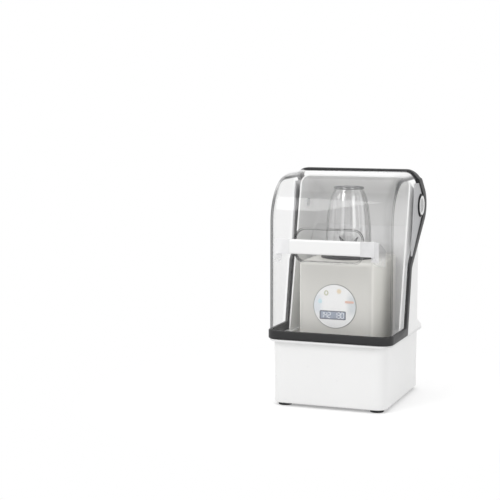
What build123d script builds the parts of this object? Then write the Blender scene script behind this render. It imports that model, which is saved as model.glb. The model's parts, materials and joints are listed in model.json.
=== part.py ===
from build123d import *
from math import acos, atan2, cos, degrees, hypot, radians, sin, tan
import os

# Countertop bottle sterilizer: an open tray carries a fixed rear hood and a clear
# cover that hinges on it, around a motor unit with an inverted clear vessel on top.
# Millimetres and degrees. X runs right, -Y is the front, Z = 0 is the counter, and
# the origin lies under the middle of the whole machine's bounding box.

# ---- tray, its liner and feet
tray_width = 230.0
tray_depth = 262.0
tray_height = 122.0  # outer wall, without feet or rim
tray_wall = 3.0
tray_floor = 3.0
tray_corner = 22.0
tray_draft = 0.3
tray_edge = 3.0
rim_overhang = 9.0
rim_thickness = 4.0
rim_round = 1.2
opening_inset = 12.5  # from the tray's outer wall to the liner's opening
bead_width = 2.2
bead_height = 1.6
liner_wall = 2.5
liner_draft = 0.5
rib_width = 8.0
rib_corner_gap = 40.0  # from the opening's side to a rib's middle
rib_clearance = 1.0  # between a rib and the motor unit
rib_drop = 5.0  # from the rim's top to a rib's top
foot_radius = 13.5
foot_height = 6.0
foot_inset = 22.0
foot_recess = 4.0
foot_recess_radius = 6.0
boss_radius = 6.0
boss_height = 6.0
boss_gap = 2.0  # between a foot boss and the liner's floor
screw_radius = 1.75
screw_head_radius = 3.6
screw_head = 2.2
screw_fit = 0.02  # thread in its own hole

# ---- hood
hood_wall = 3.0
hood_foot_depth = 159.0  # side wall's length on the rim
hood_lean = 13.4
hood_eave_drop = 48.0  # rear eave below the cover's top
roof_slope = 24.0
eave_radius = 25.0
hood_corner = 20.0
skirt_height = 5.0
skirt_flare = 10.0
skirt_margin = 0.5  # rim left showing outside the skirt
skirt_gap = 1.0  # skirt's front end to the cover's trim
duct_depth = 25.0
duct_wall = 2.5
duct_height = 157.5  # shoulder's foot above the rim
shoulder_height = 46.0
liner_fit = 0.3
hood_screw_radius = 1.5
hood_screw_head_radius = 2.6
hood_screw_head = 2.0
hood_screw_bite = 4.0
hood_screw_setback = 22.0
hood_screw_pitch = 80.0

# ---- cover
cover_side_gap = 5.2  # hood's side to the clear panel
cover_wall = 3.0
cover_setback = -1.6  # front panel behind the tray's front wall
cover_headroom = 36.5  # over the motor unit's top and the vessel's height
cover_arc = 95.0
cover_corner = 20.0
cover_rest_gap = 0.3
trim_width = 17.0
trim_lip = 5.0
trim_outside = 3.0
trim_inside = 0.7
trim_reach = 136.5  # tray's rear wall to the lower rear corner
bend_height = 132.0
bend_setback = 110.0
top_setback = 66.0
rear_bar_depth = 3.0
pocket_depth = 8.0  # finger pocket pressed into the front panel
pocket_width = 132.0
pocket_height = 62.0
pocket_corner = 20.0
pocket_above_rim = 186.0

# ---- hinge
pivot_setback = 49.0  # from the tray's rear wall
pivot_drop = 70.5  # below the cover's top
ear_radius = 40.5
ear_thickness = 3.2
ear_gap = 0.6  # groove between ear and trim
ear_tip_drop = 104.0
ear_tip_forward = 64.0
ear_top_rise = 46.0
ear_top_forward = 42.0
hub_radius = 22.0
hub_height = 2.6
hub_pocket = 1.6
cap_radius = 19.0
cap_height = 2.6
cap_dish = 1.4
cap_fit = 0.15
pin_radius = 4.0
pin_running_fit = 0.05
pin_head_radius = 8.0
pin_head = 2.5
pin_cap_gap = 0.3
bush_wall = 3.0
bush_side_gap = 0.3

# ---- handle
handle_inset = 53.2  # from the cover's side to the white bar's end
handle_height = 28.0
handle_thickness = 10.0
handle_reach = 25.0  # bar's front ahead of the tray's front wall
handle_above_rim = 185.5
handle_round = 4.0
arm_flare = 26.2  # from the clear end block's side out to the cover's side
arm_thickness = 8.0
arm_steps = (0.0, 17.0, 33.0, 51.0)  # points along the arm, behind the bar's front
arm_upper = (0.0, -7.0, -29.0, -40.0)  # its top edge there, against the bar's top
arm_lower = (0.0, -16.0, -26.0, -33.0)  # its bottom edge there, against the bar's bottom
tongue_length = 12.0
tongue_thickness = 5.0
tongue_height = 16.0
tongue_fit = 0.1

# ---- motor unit
drive_width = 150.0
drive_setback = 44.0  # its front behind the tray's front wall
drive_duct_gap = 3.0  # its rear to the duct panel
drive_height = 261.0
drive_corner = 12.0
drive_edge = 9.0
drive_wall = 3.5
drive_roof = 4.0
pad_radius = 9.0
pad_height = 2.0
pad_inset = 24.0
bottom_plate = 3.0
bottom_fit = 0.2
vent_slots = 7
vent_length = 60.0
vent_width = 4.0
vent_pitch = 9.0
dial_radius = 43.5
dial_thickness = 2.6
dial_recess = 1.5
dial_fit = 0.2
dial_height = 174.5  # centre above the unit's bottom
window_width = 53.0
window_height = 17.0
window_depth = 1.2
window_drop = 17.5
window_shift = 4.0  # to the left of the dial's middle
window_corner = 2.0
key_radius = 4.5
key_depth = 0.8
key_spread = 31.0
key_angles = (18.0, 74.0, 124.0, 164.0)
board_width = 84.0
board_height = 62.0
board_thickness = 1.6
board_standoff = 5.0
standoff_radius = 3.0
board_margin = 5.0
control_board_width = 90.0
control_board_height = 110.0

# ---- motor
motor_radius = 38.0
motor_length = 104.0
motor_shell = 2.0
motor_drop = 46.0  # roof's inside to the motor's flange
flange_radius = 52.0
flange_thickness = 3.0
mount_circle = 45.5
mount_radius = 5.0
shaft_radius = 4.0
bearing_outer = 11.0
bearing_length = 7.0
bearing_running_fit = 0.03
armature_radius = 27.0
armature_length = 58.0
end_bell = 5.0
fan_hub = 9.0
fan_radius = 42.0
fan_blade = 1.6
fan_height = 12.0
fan_gap = 3.0
fan_blades = 9

# ---- vessel, its seat and the rotor
axis_offset = 2.0  # drive axis behind the tray's middle
seat_radius = 54.0
seat_height = 6.0
seat_floor = 1.6
seat_well = 19.0
collar_radius = 46.6
collar_fit = 0.4
collar_height = 9.5
collar_floor = 2.5
collar_lift = 0.3
thread_fit = 0.2
lug_reach = 2.6
lug_height = 1.5
lug_angle = 20.0
lug_count = 3
twist_angle = 30.0
twist_play = 1.5
lug_fit = 0.4
gasket_height = 1.5
glass_wall = 2.2
glass_height = 135.0
glass_mouth = 43.6
glass_belly = 46.0
glass_shoulder = 38.5
glass_neck = 28.0
glass_rim = 30.0
glass_rim_height = 4.5
glass_levels = (0.19, 0.56, 0.78)  # belly, chest and shoulder, as shares of the height
glass_chest = 43.0
bearing_hub_radius = 10.0
bearing_hub_height = 9.0
spindle_radius = 3.0
spindle_running_fit = 0.05
spindle_nut_radius = 5.0
spindle_nut_height = 4.0
coupling_radius = 14.0
coupling_height = 5.0
coupling_gap = 0.4
dog_radius = 9.0
dog_width = 5.0
dog_height = 3.4
dog_play = 0.5
wing_span = 21.0
wing_rise = 28.0
wing_thickness = 1.5
wing_width = 14.0
wing_hub_radius = 7.0
wing_hub_height = 3.0
heater_inner = 24.0
heater_width = 14.0
heater_thickness = 5.0

# ---- power inlet
inlet_width = 26.0
inlet_height = 18.0
inlet_corner = 5.0
inlet_flange = 4.0
inlet_flange_thickness = 2.0
inlet_above_floor = 56.0
inlet_recess = 14.0
inlet_wall = 2.5
inlet_fit = 0.2
inlet_pin_radius = 1.4
inlet_pin_spread = 4.5
inlet_pin_end = 4.0
dock_gap = 0.5
dock_depth = 14.0
dock_width = 34.0
dock_height = 24.0

# ---- places worked out from the sizes above
tray_y = (handle_reach - rim_overhang) / 2
rim_under = foot_height + tray_height
rim_top = rim_under + rim_thickness
tray_front = tray_y - tray_depth / 2
tray_rear = tray_y + tray_depth / 2
opening_width = tray_width - 2 * opening_inset
opening_depth = tray_depth - 2 * opening_inset
opening_corner = max(tray_corner - opening_inset, 2 * liner_wall)
boss_top = foot_height + tray_floor + boss_height
liner_bottom = boss_top + boss_gap
liner_floor = liner_bottom + liner_wall
foot_pitch = (tray_width - 2 * foot_inset, tray_depth - 2 * foot_inset)
tray_plane = Plane((0, tray_y, 0))

duct_face = tray_rear - hood_wall - duct_depth
drive_front = tray_front + drive_setback
drive_rear = duct_face - drive_duct_gap
drive_depth = drive_rear - drive_front
drive_y = (drive_front + drive_rear) / 2
drive_bottom = liner_floor + pad_height
drive_top = drive_bottom + drive_height
drive_plane = Plane((0, drive_y, 0))
axis_y = tray_y + axis_offset
axis_plane = Plane((0, axis_y, 0))

cover_top = drive_top + glass_height + cover_headroom
far = tray_depth + cover_top - rim_top  # well outside every outline
hood_rear = tray_rear
hood_foot = hood_rear - hood_foot_depth
cover_half = tray_width / 2 + cover_side_gap + cover_wall
cover_front = tray_front + cover_setback
trim_bottom = rim_top + cover_rest_gap
pivot_y = tray_rear - pivot_setback
pivot_z = cover_top - pivot_drop
trim_corner = (tray_rear - trim_reach, trim_bottom)
trim_bend = (tray_rear - bend_setback, rim_top + bend_height)
trim_top_y = tray_rear - top_setback
ear_face = cover_half + ear_thickness

seat_floor_z = drive_top + seat_floor
seat_bore = collar_radius + collar_fit
collar_bottom = seat_floor_z + collar_lift
collar_inside = collar_bottom + collar_floor
glass_bottom = collar_inside + gasket_height
glass_top = glass_bottom + glass_height
driven_top = collar_bottom - coupling_gap
driven_bottom = driven_top - coupling_height
driver_top = driven_bottom - coupling_gap
driver_bottom = driver_top - coupling_height
dog_top = driver_top + dog_height
hub_top = collar_inside + bearing_hub_height
wing_bottom = hub_top + coupling_gap
wing_hub_top = wing_bottom + wing_hub_height


def fillet_outline(block, half, last_y, first_y, radius):
    """Round the long edges of a prism's two side faces, leaving its open ends sharp."""
    edges = block.faces().filter_by(Axis.X).sort_by(Axis.X).edges()
    keep = [
        edge
        for edge in edges
        if abs(abs(edge.center().X) - half) < 0.01
        and edge.center().Z > 1
        and first_y + 1 < edge.center().Y < last_y - 1
    ]
    fillet(keep, radius)


def cover_block(inset):
    """The cover's outer form shrunk by inset, run on past its open rear and bottom."""
    half = cover_half - inset
    centre = (cover_front + cover_arc, cover_top - cover_arc)
    with BuildPart() as block:
        with BuildSketch(Plane.YZ):
            with BuildLine():
                rise = Line((cover_front + inset, 0), (cover_front + inset, centre[1]))
                bend = CenterArc(centre, cover_arc - inset, 90, 90)
                Polyline(bend @ 0, (far, cover_top - inset), (far, 0), rise @ 0)
            make_face()
        extrude(amount=half, both=True)
        fillet_outline(block, half, far, -far, cover_corner - inset)
    return block.part


def hood_block(inset):
    """The hood's outer form shrunk by inset, run on past its open front and bottom."""
    half = tray_width / 2 - inset
    rear = hood_rear - inset
    near = hood_foot - hood_foot_depth / 2
    eave = cover_top - hood_eave_drop - inset / cos(radians(roof_slope))
    eave += inset * tan(radians(roof_slope))
    with BuildPart() as block:
        with BuildSketch(Plane.YZ):
            with BuildLine():
                corners = [
                    (near, 0),
                    (rear, 0),
                    (rear, eave),
                    (near, eave + (rear - near) * tan(radians(roof_slope))),
                ]
                Polyline(corners, close=True)
            make_face()
            eave_point = vertices().filter_by(lambda v: abs(v.Y - eave) < 0.01)
            fillet(eave_point.sort_by(Axis.X)[-1:], eave_radius - inset)
        extrude(amount=half, both=True)
        fillet_outline(block, half, far, near, hood_corner - inset)
    return block.part


def tangent_points():
    """Where the trim's outline leaves and joins the round of the ear."""
    found = []
    for point, side in ((trim_bend, 1), ((trim_top_y, cover_top), -1)):
        away = (point[0] - pivot_y, point[1] - pivot_z)
        heading = atan2(away[1], away[0]) + side * acos(ear_radius / hypot(*away))
        found.append((pivot_y + ear_radius * cos(heading), pivot_z + ear_radius * sin(heading)))
    return found


def cover_side(inset):
    """Side view of all that lies inside the cover's open edge, drawn in from it by inset."""
    low, high = tangent_points()
    with BuildSketch() as side:
        with BuildLine():
            Polyline((-far, trim_corner[1]), trim_corner, trim_bend, low)
            ThreePointArc(low, (pivot_y + ear_radius, pivot_z), high)
            Polyline(high, (trim_top_y, cover_top), (trim_top_y, far), (-far, far))
            Line((-far, far), (-far, trim_corner[1]))
        make_face()
        if inset:
            offset(amount=-inset, kind=Kind.INTERSECTION)
    return side.sketch


def cover_prism(inset):
    """The side view as a solid right across the machine."""
    with BuildPart() as prism:
        with BuildSketch(Plane.YZ):
            add(cover_side(inset))
        extrude(amount=far, both=True)
    return prism.part


def ring_sector(inner, outer, start, stop):
    """Flat piece of a ring between two angles."""
    with BuildSketch() as sector:
        with BuildLine():
            outside = CenterArc((0, 0), outer, start, stop - start)
            inside = CenterArc((0, 0), inner, start, stop - start)
            Line(outside @ 0, inside @ 0)
            Line(outside @ 1, inside @ 1)
        make_face()
    return sector.sketch


# ---- tray: drafted box with a boss over each foot
foot_grid = GridLocations(*foot_pitch, 2, 2)
inlet_z = foot_height + inlet_above_floor
inlet_face = tray_rear - (rim_under - inlet_z - inlet_height) * tan(radians(tray_draft))
inlet_plane = Plane((0, inlet_face, inlet_z), x_dir=(1, 0, 0), z_dir=(0, 1, 0))
inlet_hole_width = inlet_width + 2 * inlet_fit
inlet_hole_height = inlet_height + 2 * inlet_fit
wall_stack = opening_inset + inlet_flange_thickness

with BuildPart() as base_tray:
    with BuildSketch(tray_plane.offset(rim_under)):
        RectangleRounded(tray_width, tray_depth, tray_corner)
    extrude(amount=-tray_height, taper=tray_draft)
    fillet(base_tray.faces().sort_by(Axis.Z)[0].edges(), tray_edge)
    with BuildSketch(tray_plane.offset(rim_under)):
        inside_width = tray_width - 2 * tray_wall
        RectangleRounded(inside_width, tray_depth - 2 * tray_wall, tray_corner - tray_wall)
    extrude(amount=tray_floor - tray_height, taper=tray_draft, mode=Mode.SUBTRACT)
    with BuildSketch(tray_plane.offset(foot_height + tray_floor)):
        with foot_grid:
            Circle(boss_radius)
    extrude(amount=boss_height)
    with BuildSketch(tray_plane.offset(foot_height)):
        with foot_grid:
            Circle(screw_radius + screw_fit)
    extrude(amount=tray_floor + boss_height, mode=Mode.SUBTRACT)
    with BuildSketch(inlet_plane):
        RectangleRounded(inlet_hole_width, inlet_hole_height, inlet_corner)
    extrude(amount=tray_wall * 2, both=True, mode=Mode.SUBTRACT)

with BuildPart() as rubber_feet:
    with BuildSketch(tray_plane):
        with foot_grid:
            Circle(foot_radius)
    extrude(amount=foot_height)
    fillet(rubber_feet.faces().sort_by(Axis.Z)[:4].edges(), rim_round)
    with BuildSketch(tray_plane):
        with foot_grid:
            Circle(foot_recess_radius)
    extrude(amount=foot_recess, mode=Mode.SUBTRACT)
    with BuildSketch(tray_plane):
        with foot_grid:
            Circle(screw_radius + screw_fit)
    extrude(amount=foot_height, mode=Mode.SUBTRACT)

with BuildPart() as foot_screws:
    with BuildSketch(tray_plane.offset(foot_recess - screw_head)):
        with foot_grid:
            Circle(screw_head_radius)
    extrude(amount=screw_head)
    with BuildSketch(tray_plane.offset(foot_recess)):
        with foot_grid:
            Circle(screw_radius)
    extrude(amount=boss_top - foot_recess)

# ---- liner: drop-in tub whose flange is the rim, with ribs that centre the motor unit
hood_screw_x = tray_width / 2 + rim_overhang / 2
hood_screw_grid = GridLocations(2 * hood_screw_x, hood_screw_pitch, 2, 2)
hood_screw_plane = Plane((0, tray_rear - hood_screw_setback - hood_screw_pitch / 2, 0))
rib_height = rim_top - rib_drop - liner_floor
side_rib = opening_width / 2 - drive_width / 2 - rib_clearance
front_rib = drive_front - (tray_front + opening_inset) - rib_clearance
rear_rib = tray_rear - opening_inset - drive_rear - rib_clearance
rib_root = liner_wall / 2

with BuildPart() as tray_liner:
    with BuildSketch(tray_plane.offset(rim_under)):
        rim_corner = tray_corner + rim_overhang
        RectangleRounded(tray_width + 2 * rim_overhang, tray_depth + 2 * rim_overhang, rim_corner)
    extrude(amount=rim_thickness)
    fillet(tray_liner.edges().group_by(Axis.Z)[0] + tray_liner.edges().group_by(Axis.Z)[-1], rim_round)
    with BuildSketch(tray_plane.offset(rim_top)):
        bead = opening_width + 2 * bead_width
        RectangleRounded(bead, opening_depth + 2 * bead_width, opening_corner + bead_width)
    extrude(amount=bead_height)
    with BuildSketch(tray_plane.offset(rim_under)):
        tub = opening_width + 2 * liner_wall
        RectangleRounded(tub, opening_depth + 2 * liner_wall, opening_corner + liner_wall)
    extrude(amount=liner_bottom - rim_under, taper=liner_draft)
    with BuildSketch(tray_plane.offset(rim_top + bead_height)):
        RectangleRounded(opening_width, opening_depth, opening_corner)
    extrude(amount=liner_floor - rim_top - bead_height, taper=liner_draft, mode=Mode.SUBTRACT)
    side_x = (opening_width - side_rib + rib_root) / 2
    side_y = opening_depth - 2 * rib_corner_gap
    end_x = opening_width - 2 * rib_corner_gap
    with BuildSketch(tray_plane.offset(liner_floor)):
        with GridLocations(2 * side_x, side_y, 2, 2):
            Rectangle(side_rib + rib_root, rib_width)
        with GridLocations(end_x, 0, 2, 1):
            with Locations((0, (front_rib - opening_depth - rib_root) / 2)):
                Rectangle(rib_width, front_rib + rib_root)
            with Locations((0, (opening_depth - rear_rib + rib_root) / 2)):
                Rectangle(rib_width, rear_rib + rib_root)
    extrude(amount=rib_height)
    with BuildSketch(hood_screw_plane.offset(rim_under)):
        with hood_screw_grid:
            Circle(hood_screw_radius + screw_fit)
    extrude(amount=rim_thickness, mode=Mode.SUBTRACT)
    with BuildSketch(inlet_plane):
        RectangleRounded(inlet_hole_width, inlet_hole_height, inlet_corner)
    extrude(amount=-wall_stack - liner_wall - rib_width, mode=Mode.SUBTRACT)

# ---- hood: three-sided shell with a leaning front edge and a flared skirt on the rim
hood_outer = hood_block(0)
hood_inner = hood_block(hood_wall)
hood_inner_fit = hood_block(hood_wall + liner_fit)
hood_cut = Plane(
    (0, hood_foot, rim_top),
    x_dir=(1, 0, 0),
    z_dir=(0, cos(radians(hood_lean)), -sin(radians(hood_lean))),
)
trim_lean = atan2(trim_bend[0] - trim_corner[0], trim_bend[1] - trim_corner[1])
skirt_cut = Plane(
    (0, trim_corner[0] + skirt_gap / cos(trim_lean), trim_corner[1]),
    x_dir=(1, 0, 0),
    z_dir=(0, cos(trim_lean), -sin(trim_lean)),
)
skirt_reach = rim_overhang - skirt_margin
skirt_taper = degrees(atan2(skirt_reach, skirt_flare))

with BuildPart() as hood_skirt:
    with BuildSketch(tray_plane.offset(rim_top)):
        skirt_width = tray_width + 2 * skirt_reach
        RectangleRounded(skirt_width, tray_depth + 2 * skirt_reach, tray_corner + skirt_reach)
    extrude(amount=skirt_height)
    extrude(hood_skirt.faces().sort_by(Axis.Z)[-1], amount=skirt_flare, taper=skirt_taper)
    split(bisect_by=skirt_cut, keep=Keep.TOP)

with BuildPart() as hood_shell:
    add(hood_outer)
    split(bisect_by=hood_cut, keep=Keep.TOP)
    split(bisect_by=Plane.XY.offset(rim_top), keep=Keep.TOP)
    add(hood_skirt.part)
    add(hood_inner, mode=Mode.SUBTRACT)
    with BuildSketch(Plane.YZ):
        with Locations((pivot_y, pivot_z)):
            Circle(pin_radius + screw_fit)
    extrude(amount=tray_width, both=True, mode=Mode.SUBTRACT)
    with BuildSketch(hood_screw_plane.offset(rim_top)):
        with hood_screw_grid:
            Circle(hood_screw_radius + screw_fit)
    extrude(amount=hood_screw_bite, mode=Mode.SUBTRACT)

with BuildPart() as hood_screws:
    with BuildSketch(hood_screw_plane.offset(rim_under - hood_screw_head)):
        with hood_screw_grid:
            Circle(hood_screw_head_radius)
    extrude(amount=hood_screw_head)
    with BuildSketch(hood_screw_plane.offset(rim_under)):
        with hood_screw_grid:
            Circle(hood_screw_radius)
    extrude(amount=rim_thickness + hood_screw_bite)

# ---- duct panel: lower rear wall that steps back in a soft shoulder
with BuildPart() as hood_liner:
    with BuildSketch(Plane.YZ):
        with BuildLine():
            foot = (duct_face + duct_wall / 2, rim_top + bead_height)
            knee = (foot[0], rim_top + duct_height)
            crown = (hood_rear - hood_wall - duct_wall, knee[1] + shoulder_height)
            Line(foot, knee)
            Spline(knee, crown, tangents=((0, 1), (0.35, 1)))
        trace(line_width=duct_wall)
    extrude(amount=tray_width, both=True)
    add(hood_inner_fit, mode=Mode.INTERSECT)

# ---- cover: one clear moulding, its black edge trim, ears and hubs
cover_outer = cover_block(0)
cover_inner = cover_block(cover_wall)
pocket_plane = Plane(
    (0, cover_front, rim_top + pocket_above_rim), x_dir=(1, 0, 0), z_dir=(0, -1, 0)
)

with BuildPart() as cover_shell:
    add(cover_outer)
    add(cover_prism(trim_lip), mode=Mode.INTERSECT)
    add(cover_inner, mode=Mode.SUBTRACT)
    with BuildSketch(pocket_plane.offset(-cover_wall)):
        wide = pocket_width + 2 * cover_wall
        high = pocket_height + 2 * cover_wall
        RectangleRounded(wide, high, pocket_corner + cover_wall)
    extrude(amount=-pocket_depth)
    with BuildSketch(pocket_plane):
        RectangleRounded(pocket_width, pocket_height, pocket_corner)
    extrude(amount=-pocket_depth, mode=Mode.SUBTRACT)
    with BuildSketch(Plane.YZ):
        with Locations((pivot_y, pivot_z)):
            Circle(pin_radius + pin_running_fit + bush_wall)
    extrude(amount=tray_width, both=True, mode=Mode.SUBTRACT)

with BuildPart() as cover_trim:
    add(cover_block(-trim_outside))
    add(cover_prism(0), mode=Mode.INTERSECT)
    add(cover_prism(trim_width), mode=Mode.SUBTRACT)
    add(cover_block(cover_wall + trim_inside), mode=Mode.SUBTRACT)
    with BuildSketch(Plane.YZ):
        with Locations((trim_top_y - trim_width / 2, cover_top - cover_wall - rear_bar_depth / 2)):
            Rectangle(trim_width, rear_bar_depth)
    extrude(amount=cover_half - cover_corner / 2, both=True)
    add(cover_shell.part, mode=Mode.SUBTRACT)

with BuildPart() as right_ear:
    with BuildSketch(Plane.YZ.offset(cover_half)):
        with Locations((pivot_y, pivot_z)):
            Circle(ear_radius)
        with BuildLine():
            tip = (pivot_y - ear_tip_forward, pivot_z - ear_tip_drop)
            back = (pivot_y + ear_radius, pivot_z)
            top = (pivot_y, pivot_z + ear_top_rise)
            crown = (pivot_y - ear_top_forward, pivot_z + ear_top_rise)
            Polyline(tip, back, top, crown, close=True)
        make_face()
        add(cover_side(trim_width + ear_gap), mode=Mode.INTERSECT)
    extrude(amount=ear_thickness)
    with BuildSketch(Plane.YZ.offset(ear_face)):
        with Locations((pivot_y, pivot_z)):
            Circle(hub_radius)
    extrude(amount=hub_height)
    with BuildSketch(Plane.YZ.offset(ear_face + hub_height)):
        with Locations((pivot_y, pivot_z)):
            Circle(cap_radius + cap_fit)
    extrude(amount=-hub_pocket, mode=Mode.SUBTRACT)
    with BuildSketch(Plane.YZ.offset(cover_half)):
        with Locations((pivot_y, pivot_z)):
            Circle(pin_radius + pin_running_fit + bush_wall)
    extrude(amount=ear_thickness + hub_height, mode=Mode.SUBTRACT)

with BuildPart() as left_ear:
    mirror(right_ear.part, about=Plane.YZ)

pocket_face = ear_face + hub_height - hub_pocket
bush_start = tray_width / 2 + bush_side_gap
with BuildPart() as hinge_bushes:
    with BuildSketch(Plane.YZ.offset(bush_start)):
        with Locations((pivot_y, pivot_z)):
            Circle(pin_radius + pin_running_fit + bush_wall)
            Circle(pin_radius + pin_running_fit, mode=Mode.SUBTRACT)
    extrude(amount=pocket_face - bush_start)
    mirror(about=Plane.YZ)

with BuildPart() as hinge_pins:
    with BuildSketch(Plane.YZ.offset(tray_width / 2 - hood_wall - pin_head)):
        with Locations((pivot_y, pivot_z)):
            Circle(pin_head_radius)
    extrude(amount=pin_head)
    with BuildSketch(Plane.YZ.offset(tray_width / 2 - hood_wall)):
        with Locations((pivot_y, pivot_z)):
            Circle(pin_radius)
    extrude(amount=pocket_face - pin_cap_gap - tray_width / 2 + hood_wall)
    mirror(about=Plane.YZ)

with BuildPart() as hub_caps:
    with BuildSketch(Plane.YZ.offset(pocket_face)):
        with Locations((pivot_y, pivot_z)):
            Circle(cap_radius)
    extrude(amount=cap_height)
    with BuildSketch(Plane.YZ.offset(pocket_face + cap_height)):
        with Locations((pivot_y, pivot_z)):
            Circle(cap_radius - cap_height)
    extrude(amount=-cap_dish, taper=degrees(atan2(cap_height, cap_dish)), mode=Mode.SUBTRACT)
    mirror(about=Plane.YZ)

# ---- handle: white bar between two clear brackets bonded to the cover's corners
handle_half = cover_half - handle_inset
handle_z = rim_top + handle_above_rim
handle_front = tray_front - handle_reach
handle_y = handle_front + handle_thickness / 2
handle_plane = Plane((0, handle_y, handle_z))

with BuildPart() as handle_bar:
    with BuildSketch(handle_plane.offset(-handle_height / 2)):
        Rectangle(2 * handle_half, handle_thickness)
    extrude(amount=handle_height)
    fillet(handle_bar.edges().filter_by(Axis.X), handle_round)
    with BuildSketch(handle_plane.offset(-tongue_height / 2)):
        with GridLocations(2 * handle_half, 0, 2, 1):
            Rectangle(2 * (tongue_length + tongue_fit), tongue_thickness + 2 * tongue_fit)
    extrude(amount=tongue_height + tongue_fit, mode=Mode.SUBTRACT)

block_end = cover_half - arm_flare
bar_top = handle_z + handle_height / 2
bar_bottom = handle_z - handle_height / 2
arm_top = [(handle_front + y, bar_top + z) for y, z in zip(arm_steps, arm_upper)]
arm_low = [(handle_front + y, bar_bottom + z) for y, z in zip(arm_steps, arm_lower)]
arm_plan = [
    (block_end, handle_front),
    (cover_half, cover_front + cover_corner),
    (cover_half - arm_thickness, cover_front + cover_corner),
    (block_end - arm_thickness, handle_front + handle_thickness),
]
with BuildPart() as right_bracket:
    with BuildSketch():
        Polygon(*arm_plan, align=None)
    extrude(amount=cover_top)
    with BuildSketch(Plane.YZ):
        with BuildLine():
            upper = Spline(*arm_top)
            lower = Spline(*arm_low)
            Line(upper @ 0, lower @ 0)
            Line(upper @ 1, lower @ 1)
        make_face()
    extrude(amount=far, both=True, mode=Mode.INTERSECT)
    with BuildSketch(handle_plane.offset(-handle_height / 2)):
        with Locations(((handle_half + block_end) / 2, 0)):
            Rectangle(block_end - handle_half, handle_thickness)
    extrude(amount=handle_height)
    with BuildSketch(handle_plane.offset(-tongue_height / 2)):
        with Locations((handle_half - tongue_length / 2, 0)):
            Rectangle(tongue_length, tongue_thickness)
    extrude(amount=tongue_height)
    add(cover_outer, mode=Mode.SUBTRACT)

with BuildPart() as left_bracket:
    mirror(right_bracket.part, about=Plane.YZ)

# ---- motor unit housing and what is let into its front
dial_plane = Plane((0, drive_front, drive_bottom + dial_height), x_dir=(1, 0, 0), z_dir=(0, -1, 0))
inner_plane = dial_plane.offset(-drive_wall)
roof_under = drive_top - drive_roof
standoff_grid = GridLocations(
    board_width - 2 * board_margin, board_height - 2 * board_margin, 2, 2
)
rear_plane = Plane(
    (0, drive_rear - drive_wall, drive_bottom + dial_height), x_dir=(1, 0, 0), z_dir=(0, -1, 0)
)
rear_grid = GridLocations(
    control_board_width - 2 * board_margin, control_board_height - 2 * board_margin, 2, 2
)
mount_spots = PolarLocations(mount_circle, 4, start_angle=45)
pad_grid = GridLocations(drive_width - 2 * pad_inset, drive_depth - 2 * pad_inset, 2, 2)
pin_spots = [(-inlet_pin_spread, 0), (inlet_pin_spread, 0)]
key_spots = [(key_spread * cos(radians(a)), key_spread * sin(radians(a))) for a in key_angles]

with BuildPart() as drive_housing:
    with BuildSketch(drive_plane.offset(drive_bottom)):
        RectangleRounded(drive_width, drive_depth, drive_corner)
    extrude(amount=drive_height)
    fillet(drive_housing.faces().sort_by(Axis.Z)[-1].edges(), drive_edge)
    with BuildSketch(drive_plane.offset(drive_bottom)):
        bay = drive_width - 2 * drive_wall
        RectangleRounded(bay, drive_depth - 2 * drive_wall, drive_corner - drive_wall)
    extrude(amount=drive_height - drive_roof, mode=Mode.SUBTRACT)
    with BuildSketch(dial_plane):
        Circle(dial_radius + dial_fit)
    extrude(amount=-dial_recess, mode=Mode.SUBTRACT)
    with BuildSketch(inner_plane):
        with standoff_grid:
            Circle(standoff_radius)
    extrude(amount=-board_standoff)
    with BuildSketch(rear_plane):
        with rear_grid:
            Circle(standoff_radius)
    extrude(amount=board_standoff)
    with BuildSketch(axis_plane.offset(roof_under)):
        Circle(seat_well)
    extrude(amount=drive_roof, mode=Mode.SUBTRACT)
    with BuildSketch(Plane((0, drive_rear, inlet_z), x_dir=(1, 0, 0), z_dir=(0, -1, 0))):
        with Locations(*pin_spots):
            Circle(inlet_pin_radius + inlet_fit)
    extrude(amount=drive_wall, mode=Mode.SUBTRACT)

with BuildPart() as drive_bottom_plate:
    with BuildSketch(drive_plane.offset(drive_bottom)):
        plate_width = drive_width - 2 * drive_wall - 2 * bottom_fit
        plate_depth = drive_depth - 2 * drive_wall - 2 * bottom_fit
        RectangleRounded(plate_width, plate_depth, drive_corner - drive_wall - bottom_fit)
        with GridLocations(0, vent_pitch, 1, vent_slots):
            SlotOverall(vent_length, vent_width, mode=Mode.SUBTRACT)
    extrude(amount=bottom_plate)

with BuildPart() as drive_pads:
    with BuildSketch(drive_plane.offset(liner_floor)):
        with pad_grid:
            Circle(pad_radius)
    extrude(amount=pad_height)

with BuildPart() as display_dial:
    with BuildSketch(dial_plane.offset(-dial_recess)):
        Circle(dial_radius)
    extrude(amount=dial_thickness)
    fillet(display_dial.faces().sort_by(Axis.Y)[0].edges(), dial_thickness - dial_recess - 0.3)
    with BuildSketch(dial_plane.offset(dial_thickness - dial_recess)):
        with Locations((-window_shift, -window_drop)):
            RectangleRounded(window_width, window_height, window_corner)
        with Locations(*key_spots):
            Circle(key_radius)
    extrude(amount=-window_depth, mode=Mode.SUBTRACT)

with BuildPart() as display_window:
    with BuildSketch(dial_plane.offset(dial_thickness - dial_recess - window_depth)):
        with Locations((-window_shift, -window_drop)):
            RectangleRounded(window_width, window_height, window_corner)
    extrude(amount=window_depth)

with BuildPart() as touch_keys:
    with BuildSketch(dial_plane.offset(dial_thickness - dial_recess - window_depth)):
        with Locations(*key_spots):
            Circle(key_radius)
    extrude(amount=key_depth)

with BuildPart() as display_board:
    with BuildSketch(inner_plane.offset(-board_standoff)):
        Rectangle(board_width, board_height)
    extrude(amount=-board_thickness)

with BuildPart() as control_board:
    with BuildSketch(rear_plane.offset(board_standoff)):
        Rectangle(control_board_width, control_board_height)
    extrude(amount=board_thickness)

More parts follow.
